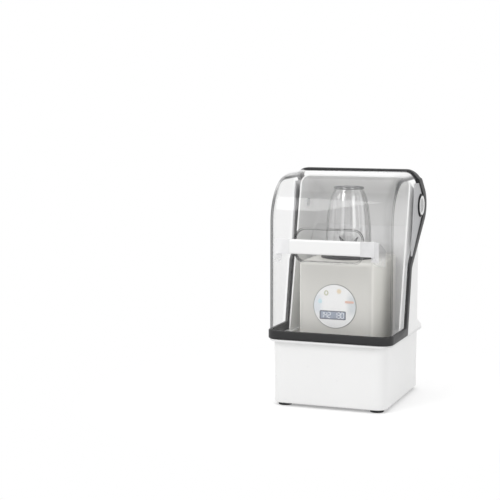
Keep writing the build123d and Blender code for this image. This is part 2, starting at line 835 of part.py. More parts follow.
# ---- motor, hung from the housing's roof on four posts
flange_top = roof_under - motor_drop
motor_top = flange_top - flange_thickness
motor_bottom = motor_top - motor_length
bell_bottom = motor_bottom - end_bell
upper_bearing_z = flange_top - flange_thickness - bearing_length
lower_bearing_z = motor_bottom - end_bell
shaft_bottom = lower_bearing_z - fan_gap - fan_height
with BuildPart() as motor_mounts:
    with BuildSketch(axis_plane.offset(flange_top)):
        with mount_spots:
            Circle(mount_radius)
    extrude(amount=motor_drop)

with BuildPart() as motor_can:
    with BuildSketch(axis_plane.offset(motor_bottom)):
        Circle(motor_radius)
    extrude(amount=motor_length)
    with BuildSketch(axis_plane.offset(motor_top)):
        Circle(flange_radius)
    extrude(amount=flange_thickness)
    with BuildSketch(axis_plane.offset(motor_bottom)):
        Circle(motor_radius - motor_shell)
    extrude(amount=motor_length - bearing_length, mode=Mode.SUBTRACT)
    with BuildSketch(axis_plane.offset(upper_bearing_z)):
        Circle(bearing_outer)
    extrude(amount=bearing_length, mode=Mode.SUBTRACT)
    with BuildSketch(axis_plane.offset(motor_top)):
        Circle(bearing_outer - bearing_running_fit - 2 * liner_wall)
    extrude(amount=flange_thickness, mode=Mode.SUBTRACT)

with BuildPart() as motor_end_bell:
    with BuildSketch(axis_plane.offset(bell_bottom)):
        Circle(motor_radius)
    extrude(amount=end_bell)
    with BuildSketch(axis_plane.offset(motor_bottom)):
        Circle(bearing_outer + liner_wall)
    extrude(amount=bearing_length)
    with BuildSketch(axis_plane.offset(motor_bottom)):
        Circle(bearing_outer)
    extrude(amount=bearing_length, mode=Mode.SUBTRACT)
    with BuildSketch(axis_plane.offset(bell_bottom)):
        Circle(shaft_radius + liner_wall)
    extrude(amount=end_bell, mode=Mode.SUBTRACT)

with BuildPart() as motor_bearings:
    with BuildSketch(axis_plane.offset(upper_bearing_z)):
        Circle(bearing_outer)
        Circle(shaft_radius + bearing_running_fit, mode=Mode.SUBTRACT)
    extrude(amount=bearing_length)
    with BuildSketch(axis_plane.offset(motor_bottom)):
        Circle(bearing_outer)
        Circle(shaft_radius + bearing_running_fit, mode=Mode.SUBTRACT)
    extrude(amount=bearing_length)

with BuildPart() as motor_shaft:
    with BuildSketch(axis_plane.offset(shaft_bottom)):
        Circle(shaft_radius)
    extrude(amount=driver_top - shaft_bottom)

armature_z = (motor_bottom + bearing_length + upper_bearing_z - armature_length) / 2
with BuildPart() as armature:
    with BuildSketch(axis_plane.offset(armature_z)):
        Circle(armature_radius)
        Circle(shaft_radius, mode=Mode.SUBTRACT)
    extrude(amount=armature_length)

with BuildPart() as cooling_fan:
    with BuildSketch(axis_plane.offset(shaft_bottom)):
        Circle(fan_hub)
        with PolarLocations((fan_hub + fan_radius) / 2 - fan_blade / 2, fan_blades):
            Rectangle(fan_radius - fan_hub + fan_blade, fan_blade)
        Circle(shaft_radius, mode=Mode.SUBTRACT)
    extrude(amount=fan_height)

# ---- seat on the unit's roof, with bayonet slots for the vessel's collar
lug_spots = PolarLocations(0, lug_count)
lug_tip = collar_radius + lug_reach
groove_tip = lug_tip + lug_fit
half_lug = lug_angle / 2
groove_end = half_lug + twist_angle + twist_play
lug_z = collar_bottom + lug_fit
lug_shape = ring_sector(collar_radius - liner_wall, lug_tip, -half_lug, half_lug)
groove_start = -half_lug - twist_play
groove_shape = ring_sector(seat_bore - liner_wall, groove_tip, groove_start, groove_end)
entry_start = twist_angle - half_lug - twist_play
entry_shape = ring_sector(seat_bore - liner_wall, groove_tip, entry_start, groove_end)

with BuildPart() as bottle_seat:
    with BuildSketch(axis_plane.offset(drive_top)):
        Circle(seat_radius)
    extrude(amount=seat_height)
    fillet(bottle_seat.faces().sort_by(Axis.Z)[-1].edges(), rim_round)
    with BuildSketch(axis_plane.offset(seat_floor_z)):
        Circle(seat_bore)
    extrude(amount=seat_height, mode=Mode.SUBTRACT)
    with BuildSketch(axis_plane.offset(drive_top)):
        Circle(seat_well)
    extrude(amount=seat_floor, mode=Mode.SUBTRACT)
    with BuildSketch(axis_plane.offset(seat_floor_z)):
        with lug_spots:
            add(groove_shape)
    extrude(amount=lug_z + lug_height + lug_fit - seat_floor_z, mode=Mode.SUBTRACT)
    with BuildSketch(axis_plane.offset(seat_floor_z)):
        with lug_spots:
            add(entry_shape)
    extrude(amount=seat_height, mode=Mode.SUBTRACT)

with BuildPart() as heater_ring:
    with BuildSketch(axis_plane.offset(roof_under - heater_thickness)):
        Circle(heater_inner + heater_width)
        Circle(heater_inner, mode=Mode.SUBTRACT)
    extrude(amount=heater_thickness)

# ---- vessel: clear glass, mouth down in a dark collar that locks in the seat
with BuildPart() as bottle_collar:
    with BuildSketch(axis_plane.offset(collar_bottom)):
        Circle(collar_radius)
    extrude(amount=collar_height)
    with BuildSketch(axis_plane.offset(collar_bottom)):
        Circle(bearing_hub_radius)
    extrude(amount=hub_top - collar_bottom)
    with BuildSketch(axis_plane.offset(collar_bottom)):
        Circle(spindle_radius + spindle_running_fit)
    extrude(amount=hub_top - collar_bottom, mode=Mode.SUBTRACT)
    with BuildSketch(axis_plane.offset(lug_z)):
        with lug_spots:
            add(lug_shape)
    extrude(amount=lug_height)
    with BuildSketch(axis_plane.offset(collar_inside)):
        Circle(glass_mouth + thread_fit)
        Circle(bearing_hub_radius, mode=Mode.SUBTRACT)
    extrude(amount=collar_height, mode=Mode.SUBTRACT)

with BuildPart() as collar_gasket:
    with BuildSketch(axis_plane.offset(collar_inside)):
        Circle(glass_mouth)
        Circle(glass_mouth - 2 * glass_wall, mode=Mode.SUBTRACT)
    extrude(amount=gasket_height)

neck_z = glass_top - glass_rim_height
belly_z, chest_z, shoulder_z = (glass_bottom + level * glass_height for level in glass_levels)
straight_z = collar_bottom + collar_height + thread_fit
vessel_plane = Plane((0, axis_y, 0), x_dir=(1, 0, 0), z_dir=(0, -1, 0))
with BuildPart() as bottle_glass:
    with BuildSketch(vessel_plane):
        with BuildLine():
            mouth = (glass_mouth, glass_bottom)
            collar_line = Line(mouth, (glass_mouth, straight_z))
            flank = Spline(
                (glass_mouth, straight_z),
                (glass_belly, belly_z),
                (glass_chest, chest_z),
                (glass_shoulder, shoulder_z),
                (glass_neck, neck_z),
            )
            Polyline(flank @ 1, (glass_rim, glass_top), (0, glass_top), (0, glass_bottom), mouth)
        make_face()
    revolve(axis=Axis((0, axis_y, 0), (0, 0, 1)))
    with BuildSketch(vessel_plane):
        with BuildLine():
            mouth = (glass_mouth - glass_wall, glass_bottom)
            collar_line = Line(mouth, (glass_mouth - glass_wall, straight_z))
            flank = Spline(
                (glass_mouth - glass_wall, straight_z),
                (glass_belly - glass_wall, belly_z),
                (glass_chest - glass_wall, chest_z),
                (glass_shoulder - glass_wall, shoulder_z),
                (glass_neck - glass_wall, neck_z - glass_wall),
            )
            Polyline(flank @ 1, (0, neck_z - glass_wall), (0, glass_bottom), mouth)
        make_face()
    revolve(axis=Axis((0, axis_y, 0), (0, 0, 1)), mode=Mode.SUBTRACT)
    with BuildSketch(axis_plane.offset(glass_top)):
        Circle(glass_neck - glass_wall)
    extrude(amount=glass_wall - glass_rim_height, mode=Mode.SUBTRACT)

# ---- rotor: winged steel on a spindle, driven through a dog coupling
with BuildPart() as drive_coupling:
    with BuildSketch(axis_plane.offset(driver_bottom)):
        Circle(coupling_radius)
        Circle(shaft_radius, mode=Mode.SUBTRACT)
    extrude(amount=coupling_height)
    with BuildSketch(axis_plane.offset(driver_top)):
        Circle(dog_radius)
        Rectangle(2 * dog_radius, dog_width, mode=Mode.INTERSECT)
    extrude(amount=dog_height)

with BuildPart() as driven_coupling:
    with BuildSketch(axis_plane.offset(driven_bottom)):
        Circle(coupling_radius)
    extrude(amount=coupling_height)
    with BuildSketch(axis_plane.offset(driven_bottom)):
        Circle(dog_radius + dog_play)
        Rectangle(2 * coupling_radius, dog_width + 2 * dog_play, mode=Mode.INTERSECT)
    extrude(amount=dog_top + coupling_gap - driven_bottom, mode=Mode.SUBTRACT)
    with BuildSketch(axis_plane.offset(driven_bottom)):
        Circle(spindle_radius)
    extrude(amount=coupling_height, mode=Mode.SUBTRACT)

with BuildPart() as rotor_spindle:
    with BuildSketch(axis_plane.offset(dog_top + coupling_gap)):
        Circle(spindle_radius)
    extrude(amount=wing_hub_top - dog_top - coupling_gap)
    with BuildSketch(axis_plane.offset(wing_hub_top)):
        RegularPolygon(spindle_nut_radius, 6)
    extrude(amount=spindle_nut_height)

with BuildPart() as rotor_wings:
    with BuildSketch(axis_plane.offset(wing_bottom)):
        Circle(wing_hub_radius)
    extrude(amount=wing_hub_height)
    with BuildSketch(vessel_plane):
        with BuildLine():
            wing_foot = (wing_hub_radius - wing_thickness, wing_bottom + wing_thickness / 2)
            wing_tip = (wing_span, wing_bottom + wing_rise)
            Spline(wing_foot, wing_tip, tangents=((1, 0.2), (0.2, 1)))
        trace(line_width=wing_thickness)
        mirror(about=Plane.YZ)
    extrude(amount=wing_width / 2, both=True)
    with BuildSketch(axis_plane.offset(wing_bottom)):
        Circle(spindle_radius)
    extrude(amount=wing_hub_height, mode=Mode.SUBTRACT)

# ---- power inlet in the tray's rear wall, reaching the unit's own socket
inlet_length = inlet_face - drive_rear - dock_gap
with BuildPart() as power_inlet:
    with BuildSketch(inlet_plane):
        RectangleRounded(inlet_width, inlet_height, inlet_corner)
    extrude(amount=-inlet_length)
    with BuildSketch(inlet_plane):
        flange_size = (inlet_width + 2 * inlet_flange, inlet_height + 2 * inlet_flange)
        RectangleRounded(*flange_size, inlet_corner + inlet_flange)
    extrude(amount=inlet_flange_thickness)
    with BuildSketch(inlet_plane.offset(inlet_flange_thickness)):
        mouth_size = (inlet_width - 2 * inlet_wall, inlet_height - 2 * inlet_wall)
        RectangleRounded(*mouth_size, inlet_corner - inlet_wall)
    extrude(amount=-inlet_recess, mode=Mode.SUBTRACT)
    with BuildSketch(inlet_plane):
        with Locations(*pin_spots):
            Circle(inlet_pin_radius)
    extrude(amount=-inlet_length, mode=Mode.SUBTRACT)

with BuildPart() as dock_socket:
    with BuildSketch(Plane((0, drive_rear - drive_wall, inlet_z), x_dir=(1, 0, 0), z_dir=(0, -1, 0))):
        Rectangle(dock_width, dock_height)
        with Locations(*pin_spots):
            Circle(inlet_pin_radius + inlet_fit, mode=Mode.SUBTRACT)
    extrude(amount=dock_depth)

with BuildPart() as inlet_pins:
    with BuildSketch(inlet_plane.offset(-inlet_pin_end)):
        with Locations(*pin_spots):
            Circle(inlet_pin_radius)
    extrude(amount=drive_rear - drive_wall - dock_depth / 2 - inlet_face + inlet_pin_end)

# ---- write every piece
pieces = {
    "base_tray": base_tray,
    "tray_liner": tray_liner,
    "rubber_feet": rubber_feet,
    "foot_screws": foot_screws,
    "hood_shell": hood_shell,
    "hood_liner": hood_liner,
    "hood_screws": hood_screws,
    "hinge_pins": hinge_pins,
    "cover_shell": cover_shell,
    "cover_trim": cover_trim,
    "left_ear": left_ear,
    "right_ear": right_ear,
    "hinge_bushes": hinge_bushes,
    "hub_caps": hub_caps,
    "handle_bar": handle_bar,
    "left_handle_bracket": left_bracket,
    "right_handle_bracket": right_bracket,
    "drive_housing": drive_housing,
    "drive_bottom_plate": drive_bottom_plate,
    "drive_pads": drive_pads,
    "display_dial": display_dial,
    "display_window": display_window,
    "touch_keys": touch_keys,
    "display_board": display_board,
    "control_board": control_board,
    "motor_mounts": motor_mounts,
    "motor_can": motor_can,
    "motor_end_bell": motor_end_bell,
    "motor_bearings": motor_bearings,
    "motor_shaft": motor_shaft,
    "armature": armature,
    "cooling_fan": cooling_fan,
    "drive_coupling": drive_coupling,
    "bottle_seat": bottle_seat,
    "heater_ring": heater_ring,
    "bottle_collar": bottle_collar,
    "collar_gasket": collar_gasket,
    "bottle_glass": bottle_glass,
    "driven_coupling": driven_coupling,
    "rotor_spindle": rotor_spindle,
    "rotor_wings": rotor_wings,
    "power_inlet": power_inlet,
    "dock_socket": dock_socket,
    "inlet_pins": inlet_pins,
}
os.makedirs("parts", exist_ok=True)
for name, piece in pieces.items():
    piece.part.label = name
    export_step(piece.part, f"parts/{name}.step")
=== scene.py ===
"""Bottle sterilizer: modelled pieces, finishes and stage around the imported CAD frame."""

import json
from math import acos, atan2, cos, hypot, pi, radians, sin

import bmesh
import bpy
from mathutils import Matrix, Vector


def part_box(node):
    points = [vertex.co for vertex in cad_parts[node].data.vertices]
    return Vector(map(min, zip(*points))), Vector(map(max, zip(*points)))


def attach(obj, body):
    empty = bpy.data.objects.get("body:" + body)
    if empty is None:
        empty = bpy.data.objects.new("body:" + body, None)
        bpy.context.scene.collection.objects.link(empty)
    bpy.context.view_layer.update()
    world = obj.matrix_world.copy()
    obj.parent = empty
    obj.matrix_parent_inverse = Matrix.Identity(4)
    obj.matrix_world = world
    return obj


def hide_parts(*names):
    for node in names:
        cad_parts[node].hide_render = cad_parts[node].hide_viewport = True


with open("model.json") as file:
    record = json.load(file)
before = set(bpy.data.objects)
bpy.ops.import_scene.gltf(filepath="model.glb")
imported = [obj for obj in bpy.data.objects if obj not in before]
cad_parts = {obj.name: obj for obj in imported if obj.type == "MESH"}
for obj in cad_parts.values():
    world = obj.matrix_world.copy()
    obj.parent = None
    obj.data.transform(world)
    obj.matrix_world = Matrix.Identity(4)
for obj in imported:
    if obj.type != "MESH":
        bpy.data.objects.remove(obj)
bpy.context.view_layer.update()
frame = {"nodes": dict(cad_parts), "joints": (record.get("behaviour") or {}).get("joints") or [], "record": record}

bl_info = {
    "name": "Bottle Sterilizer",
    "version": (1, 0, 0),
    "blender": (4, 5, 0),
    "location": "View3D > Sidebar > Sterilizer",
    "description": "Models a bottle sterilizer's cover, edge trim, vessel, wings and display",
    "category": "Object",
}

HINGE = Vector(next(j for j in frame["joints"] if j["name"] == "cover_hinge")["pos_m"])
HUB_RADIUS = 0.0234  # black ring round the hinge on the ear plates
KEY_SPOTS = {  # touch keys, across and up from the display's middle
    "drop": (-0.0298, 0.0085),
    "ring": (-0.0173, 0.0257),
    "flower": (0.0085, 0.0298),
    "bar": (0.0295, 0.0096),
}
HAIR = 1e-6  # slack where two places are the same
NEAR = 1e-5  # slack where a place lies in a plane
WALL = 1e-4  # least distance of a wall's middle from the planes it joins


# ---------------------------------------------------------------- sizes and colours


def length(name, description, default):
    """A size in metres that the sidebar shows in the scene's units."""
    return bpy.props.FloatProperty(
        name=name, description=description, default=default, min=0, precision=5,
        unit="LENGTH", subtype="DISTANCE",
    )


def tone(name, description, default):
    """A colour, in linear red, green and blue."""
    return bpy.props.FloatVectorProperty(
        name=name, description=description, default=default, min=0, max=1, size=3,
        subtype="COLOR",
    )


class CoverSizes(bpy.types.PropertyGroup):
    """Sizes of the clear cover and its black edge trim."""

    wall: length("Wall", "Thickness of the clear moulding", 0.003)
    arc: length("Top arc", "Outside radius from the front panel to the top", 0.095)
    corner: length("Corner", "Outside radius of the corners", 0.020)
    lip: length("Lip", "How far the clear edge stands back inside the trim", 0.005)
    trim_width: length("Trim width", "Width of the edge trim", 0.017)
    trim_proud: length("Trim proud", "How far the trim stands out of the cover", 0.003)
    trim_inside: length("Trim inside", "Trim left showing inside the cover", 0.0007)
    trim_round: length("Trim rounding", "Radius of the trim's edges", 0.0016)
    swell: length("Swell", "How much further the trim stands out round the hinge", 0.0032)
    swell_reach: length("Swell reach", "How far from the ear the trim starts to swell", 0.055)
    ear_radius: length("Ear radius", "Outside radius of the trim around the hinge", 0.0405)
    bend_y: length("Bend back", "Bend of the open edge, behind the middle", 0.029)
    bend_z: length("Bend height", "Bend of the open edge, above the counter", 0.264)
    corner_y: length("Foot back", "Lower end of the slanting edge, behind the middle", 0.0025)
    top_y: length("Top back", "Rear edge of the top, behind the middle", 0.073)
    pocket_width: length("Pocket width", "Width of the finger pocket", 0.132)
    pocket_low: length("Pocket foot", "Lower edge of the pocket, above the counter", 0.287)
    pocket_top: length("Pocket top", "Upper edge of the pocket, above the counter", 0.349)
    pocket_depth: length("Pocket depth", "How far the pocket is pressed in", 0.008)
    pocket_corner: length("Pocket corner", "Radius of the pocket's corners", 0.018)
    pocket_edge: length("Pocket edge", "Rounding of the pocket's rim", 0.0012)
    pocket_foot: length("Pocket hollow", "Rounding at the pocket's floor", 0.0030)


class VesselSizes(bpy.types.PropertyGroup):
    """Sizes of the clear fluted vessel, which stands on its mouth."""

    mouth: length("Mouth", "Outside radius at the mouth", 0.0436)
    belly: length("Belly", "Largest outside radius", 0.0460)
    chest: length("Chest", "Outside radius at half height", 0.0430)
    shoulder: length("Shoulder", "Outside radius below the neck", 0.0385)
    neck: length("Neck", "Outside radius of the neck", 0.0280)
    crown: length("Crown", "Outside radius of the ring on top", 0.0300)
    crown_height: length("Crown height", "Height of the ring on top", 0.0045)
    wall: length("Wall", "Thickness of the vessel", 0.0022)
    flutes: bpy.props.IntProperty(
        name="Flutes", description="Number of upright flutes", default=12, min=3, max=32
    )
    flute_depth: bpy.props.FloatProperty(
        name="Flute depth", description="Depth of a flute, as a share of the radius",
        default=0.050, min=0, max=0.3, subtype="FACTOR",
    )


class WingSizes(bpy.types.PropertyGroup):
    """Sizes of the rotor's wings inside the vessel."""

    hub: length("Hub", "Radius of the hub", 0.0070)
    hub_height: length("Hub height", "Height of the hub", 0.0030)
    hub_round: length("Hub edge", "Rounding of the hub's edges", 0.0006)
    lift: length("Lift", "Height of the blades' foot over the hub's foot", 0.0012)
    width: length("Blade width", "Width of a blade at the hub", 0.0170)
    thick: length("Blade thickness", "Thickness of the sheet", 0.0015)
    twist: bpy.props.FloatProperty(
        name="Twist", description="How far a blade turns towards its tip",
        default=radians(70), subtype="ANGLE",
    )


class DisplaySizes(bpy.types.PropertyGroup):
    """Sizes of the round display, its numbers and its touch marks."""

    frame_width: length("Frame width", "Width of the thin ring round the disc", 0.0013)
    frame_step: length("Frame step", "How far the disc's face lies behind the ring", 0.0003)
    digit_width: length("Digit width", "Width of a number on the screen", 0.0052)
    digit_height: length("Digit height", "Height of a number on the screen", 0.0110)
    stroke: length("Stroke", "Width of a bar of a number", 0.0013)
    gap: length("Gap", "Distance between the ends of two bars and a corner", 0.0002)
    dot_shift: length("Dot shift", "How far the two dots stand right of the middle", 0.0012)
    proud: length("Proud", "How far marks and numbers stand out", 0.0002)
    sunk: length("Sunk", "How far marks and numbers reach into the disc", 0.0008)
    ring: length("Ring mark", "Width of the ring-shaped mark", 0.0090)
    flower: length("Flower mark", "Width of the flower-shaped mark", 0.0120)
    drop: length("Drop mark", "Width of the drop-shaped mark", 0.0080)
    bar: length("Bar mark", "Width of the bar-shaped mark", 0.0180)
    bar_height: length("Bar height", "Height of the bar-shaped mark", 0.0044)
    bar_round: length("Bar ends", "Rounding of the bar-shaped mark", 0.0021)


class Colours(bpy.types.PropertyGroup):
    """Base colours of the finishes."""

    white: tone("White shell", "Tray, hood, handle bar and hub caps", (0.88, 0.88, 0.877))
    liner: tone("Liner", "Tray liner and duct panel", (0.80, 0.80, 0.80))
    ear: tone("Ear plate", "Grey plates round the hinge", (0.48, 0.48, 0.49))
    black: tone("Black trim", "Edge trim round the cover", (0.010, 0.010, 0.011))
    drive: tone("Motor unit", "Housing of the motor unit", (0.69, 0.68, 0.645))
    dial: tone("Display disc", "Round front of the display", (0.95, 0.95, 0.95))
    screen: tone("Screen", "Liquid crystal window", (0.37, 0.41, 0.50))
    # edge is painted shade: the dark colour that the clear finishes lay along outlines, upright corners, the
    # pocket's walls and the vessel's crown ring, and as a faint tint over flats
    edge: tone("Clear edge", "Dark tint in the cover's edges", (0.030, 0.032, 0.036))


# ---------------------------------------------------------------- modelling


def settle():
    """Goes back to object mode with nothing selected."""
    if bpy.context.object and bpy.context.object.mode != "OBJECT":
        bpy.ops.object.mode_set(mode="OBJECT")
    bpy.ops.object.select_all(action="DESELECT")


def edit(piece):
    """Opens one piece for editing with nothing on it selected."""
    settle()
    bpy.context.view_layer.objects.active = piece
    piece.select_set(True)
    bpy.ops.object.mode_set(mode="EDIT")
    bpy.ops.mesh.select_mode(type="VERT")
    bpy.ops.mesh.select_all(action="DESELECT")


def started(name):
    """Names the primitive that was just added, sets its place in its mesh and opens it."""
    piece = bpy.context.object
    piece.name = piece.data.name = name
    bpy.ops.object.transform_apply(location=True, rotation=True, scale=True)
    edit(piece)
    return piece


def block(name, low, high):
    """A block between two corners, open for editing."""
    settle()
    low, high = Vector(low), Vector(high)
    bpy.ops.mesh.primitive_cube_add(size=1, location=(low + high) / 2)
    bpy.context.object.scale = high - low
    return started(name)


def pick(kind, test):
    """Selects the vertices, edges or faces that pass a test, and nothing else."""
    bpy.ops.mesh.select_mode(type=kind)
    bpy.ops.mesh.select_all(action="DESELECT")
    mesh = bmesh.from_edit_mesh(bpy.context.object.data)
    for part in {"VERT": mesh.verts, "EDGE": mesh.edges, "FACE": mesh.faces}[kind]:
        part.select = bool(test(part))
    mesh.select_flush_mode()
    bmesh.update_edit_mesh(bpy.context.object.data)


def middle(part):
    """Centre of an edge or a face."""
    return sum((corner.co for corner in part.verts), Vector()) / len(part.verts)


def runs(edge, axis):
    """True where an edge lies along an axis."""
    way = edge.verts[1].co - edge.verts[0].co
    return abs(way[axis]) > 0.999 * way.length


def modify(piece, kind, **settings):
    """Adds a modifier and applies it."""
    settle()
    bpy.context.view_layer.objects.active = piece
    piece.select_set(True)
    modifier = piece.modifiers.new(kind.title(), kind)
    for name, value in settings.items():
        setattr(modifier, name, value)
    bpy.ops.object.modifier_apply(modifier=modifier.name)


def finish(piece, body, slot, material, *nodes, smooth=35):
    """Smooths a piece, dresses it and hands it to the frame."""
    settle()
    bpy.context.view_layer.objects.active = piece
    piece.select_set(True)
    bpy.ops.object.shade_smooth_by_angle(angle=radians(smooth))
    piece.data.materials.clear()
    piece.data.materials.append(material)
    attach(piece, body)
    if nodes:
        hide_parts(*nodes)


def joined(name, pieces):
    """Joins pieces into one mesh."""
    settle()
    for piece in pieces:
        piece.select_set(True)
    bpy.context.view_layer.objects.active = pieces[0]
    bpy.ops.object.join()
    pieces[0].name = pieces[0].data.name = name
    return pieces[0]


def split_level(height, test=lambda face: True):
    """Cuts the faces that cross one height along it, where they pass a test."""
    pick(
        "FACE",
        lambda f: min(v.co.z for v in f.verts) < height - HAIR
        and max(v.co.z for v in f.verts) > height + HAIR
        and test(f),
    )
    bpy.ops.mesh.bisect(plane_co=(0, 0, height), plane_no=(0, 0, 1), threshold=HAIR)


def crossing(first, second):
    """Point where two side-view lines meet, each given by two points."""
    (ay, az), (by, bz) = first
    (cy, cz), (dy, dz) = second
    across = (by - ay) * (dz - cz) - (bz - az) * (dy - cy)
    share = ((cy - ay) * (dz - cz) - (cz - az) * (dy - cy)) / across
    return (ay + share * (by - ay), az + share * (bz - az))


def drawn_in(start, stop, inset):
    """A side-view line moved towards the front by inset."""
    dy, dz = stop[0] - start[0], stop[1] - start[1]
    size = hypot(dy, dz)
    shift = (-dz / size * inset, dy / size * inset)
    return tuple((y + shift[0], z + shift[1]) for y, z in (start, stop))


def open_edge(sizes, inset):
    """Side view (y, z) of the cover's open edge, drawn in by inset, from the rim upward."""
    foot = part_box("cover_trim")[0].z
    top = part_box("cover_shell")[1].z
    pivot = (HINGE.y, HINGE.z)
    corner = (sizes.corner_y, foot)
    bend = (sizes.bend_y, sizes.bend_z)
    crest = (sizes.top_y, top)
    angles = []
    for point, side in ((bend, 1), (crest, -1)):
        away = (point[0] - pivot[0], point[1] - pivot[1])
        angles.append(atan2(away[1], away[0]) + side * acos(sizes.ear_radius / hypot(*away)))
    low, high = (
        (pivot[0] + sizes.ear_radius * cos(a), pivot[1] + sizes.ear_radius * sin(a))
        for a in angles
    )
    front = drawn_in(corner, bend, inset)
    slope = drawn_in(bend, low, inset)
    crown = drawn_in(high, crest, inset)
    radius = sizes.ear_radius - inset
    steps = 24
    arc = [
        (pivot[0] + radius * cos(a), pivot[1] + radius * sin(a))
        for a in (angles[0] + (angles[1] - angles[0]) * n / steps for n in range(steps + 1))
    ]
    level = ((-1, foot + inset), (1, foot + inset))
    upright = ((sizes.top_y - inset, top), (sizes.top_y - inset, top + 0.05))
    first = front[0] if not inset else crossing(level, front)
    return [first, crossing(front, slope), *arc, crossing(crown, upright), upright[1]]


def reach(line, z):
    """How far back a side-view line lies at one height."""
    for (y0, z0), (y1, z1) in zip(line, line[1:]):
        if z0 <= z <= z1:
            return y0 + (y1 - y0) * (z - z0) / (z1 - z0)


def past_front(face):
    """True for a face that reaches behind the front panel and its corners."""
    return max(v.co.y for v in face.verts) > -0.05


def trim_back(line, behind=True):
    """Cuts the open piece along a side-view line and clears what lies behind or before it."""
    for _, height in line:
        split_level(height, past_front)
    for (y0, z0), (y1, z1) in zip(line, line[1:]):
        pick("FACE", lambda f: z0 < middle(f).z < z1 and past_front(f))
        bpy.ops.mesh.bisect(plane_co=(0, y0, z0), plane_no=(0, z1 - z0, y0 - y1), threshold=HAIR)
    pick(
        "FACE",
        lambda f: line[0][1] < middle(f).z < line[-1][1]
        and (middle(f).y > reach(line, middle(f).z)) == behind,
    )
    bpy.ops.mesh.delete(type="FACE")


def hood_form(name, sizes, grown):
    """The cover's outside as an open sheet, grown outwards: front, top and two sides."""
    low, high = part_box("cover_shell")
    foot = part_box("cover_trim")[0].z
    half, front, top = high.x + grown, low.y - grown, high.z + grown
    spare = 0.06  # past the hinge, cut off later
    piece = block(name, (-half, front, foot), (half, HINGE.y + spare, top))
    pick("EDGE", lambda e: runs(e, 0) and middle(e).y < front + NEAR and middle(e).z > top - NEAR)
    bpy.ops.mesh.bevel(offset=sizes.arc + grown, segments=32, profile=0.5, clamp_overlap=False)
    pick("FACE", lambda f: f.normal.z < -0.999 or f.normal.y > 0.999)
    bpy.ops.mesh.delete(type="FACE")
    pick(
        "EDGE",
        lambda e: len(e.link_faces) == 2
        and any(abs(f.normal.x) > 0.999 for f in e.link_faces),
    )
    bpy.ops.mesh.bevel(
        offset=sizes.corner + grown, segments=10, profile=0.5, clamp_overlap=False
    )
    return piece


def press_pocket(sizes, front):
    """Presses a round-cornered pocket into the open piece's front panel."""
    half, low, top = sizes.pocket_width / 2, sizes.pocket_low, sizes.pocket_top
    floor = front + sizes.pocket_depth
    for place, way in (
        ((-half, 0, 0), (1, 0, 0)), ((half, 0, 0), (1, 0, 0)),
        ((0, 0, low), (0, 0, 1)), ((0, 0, top), (0, 0, 1)),
    ):
        pick("FACE", lambda f: all(v.co.y < front + NEAR for v in f.verts))
        bpy.ops.mesh.bisect(plane_co=place, plane_no=way, threshold=HAIR)
    pick(
        "FACE",
        lambda f: middle(f).y < front + NEAR
        and abs(middle(f).x) < half
        and low < middle(f).z < top,
    )
    bpy.ops.mesh.extrude_region_move(TRANSFORM_OT_translate={"value": (0, sizes.pocket_depth, 0)})
    pick(
        "EDGE",
        lambda e: runs(e, 1)
        and abs(middle(e).x) < half + NEAR
        and front < middle(e).y < floor,
    )
    bpy.ops.mesh.bevel(offset=sizes.pocket_corner, segments=8, profile=0.5, clamp_overlap=False)
    for level, round_off in ((front, sizes.pocket_edge), (floor, sizes.pocket_foot)):
        pick(
            "EDGE",
            lambda e: all(abs(v.co.y - level) < NEAR for v in e.verts)
            and any(front + WALL < middle(f).y < floor - WALL for f in e.link_faces),
        )
        bpy.ops.mesh.bevel(offset=round_off, segments=3, profile=0.5, clamp_overlap=False)


# ---------------------------------------------------------------- finishes


class Value:
    """A number that varies over a surface, used in plain arithmetic."""

    def __init__(self, nodes, socket):
        self.nodes = nodes
        self.socket = socket

    def maths(self, operation, *others):
        values = dict(enumerate((self, *others)))
        return self.nodes.node("Math", {"operation": operation}, values)

    def __add__(self, other):
        return self.maths("ADD", other)

    __radd__ = __add__

    def __sub__(self, other):
        return self.maths("SUBTRACT", other)

    def __rsub__(self, other):
        return self.nodes.node("Math", {"operation": "SUBTRACT"}, {0: other, 1: self})

    def __mul__(self, other):
        return self.maths("MULTIPLY", other)

    __rmul__ = __mul__

    def __pow__(self, other):
        return self.maths("POWER", other)

    def __abs__(self):
        return self.maths("ABSOLUTE")

    def least(self, other):
        return self.maths("MINIMUM", other)

    def most(self, other):
        return self.maths("MAXIMUM", other)

    def between(self, low, high):
        """0 below low, 1 above high and smooth between them."""
        return self.nodes.node(
            "MapRange", {"interpolation_type": "SMOOTHSTEP"},
            {"Value": self, "From Min": low, "From Max": high},
        )


class Nodes:
    """The nodes of a material or of the world."""

    def __init__(self, owner):
        owner.use_nodes = True
        self.tree = owner.node_tree
        self.tree.nodes.clear()

    def node(self, kind, settings=None, values=None, output=0):
        """Adds a node, with its settings first and then its sockets' values or links."""
        node = self.tree.nodes.new("ShaderNode" + kind)
        for name, value in (settings or {}).items():
            if name == "stops":
                for index, (position, colour) in enumerate(value):
                    stops = node.color_ramp.elements
                    stop = stops[index] if index < 2 else stops.new(position)
                    stop.position, stop.color = position, colour
            else:
                setattr(node, name, value)
        for name, value in (values or {}).items():
            if isinstance(value, Value):
                self.tree.links.new(value.socket, node.inputs[name])
            else:
                node.inputs[name].default_value = value
        return Value(self, node.outputs[output]) if node.outputs else node

    def in_view(self):
        """1 for what the eye sees straight, through glass or in a shiny surface."""
        rays = ("Is Camera Ray", "Is Glossy Ray", "Is Transmission Ray")
        camera, glossy, through = (self.node("LightPath", output=ray) for ray in rays)
        return camera.most(glossy).most(through)


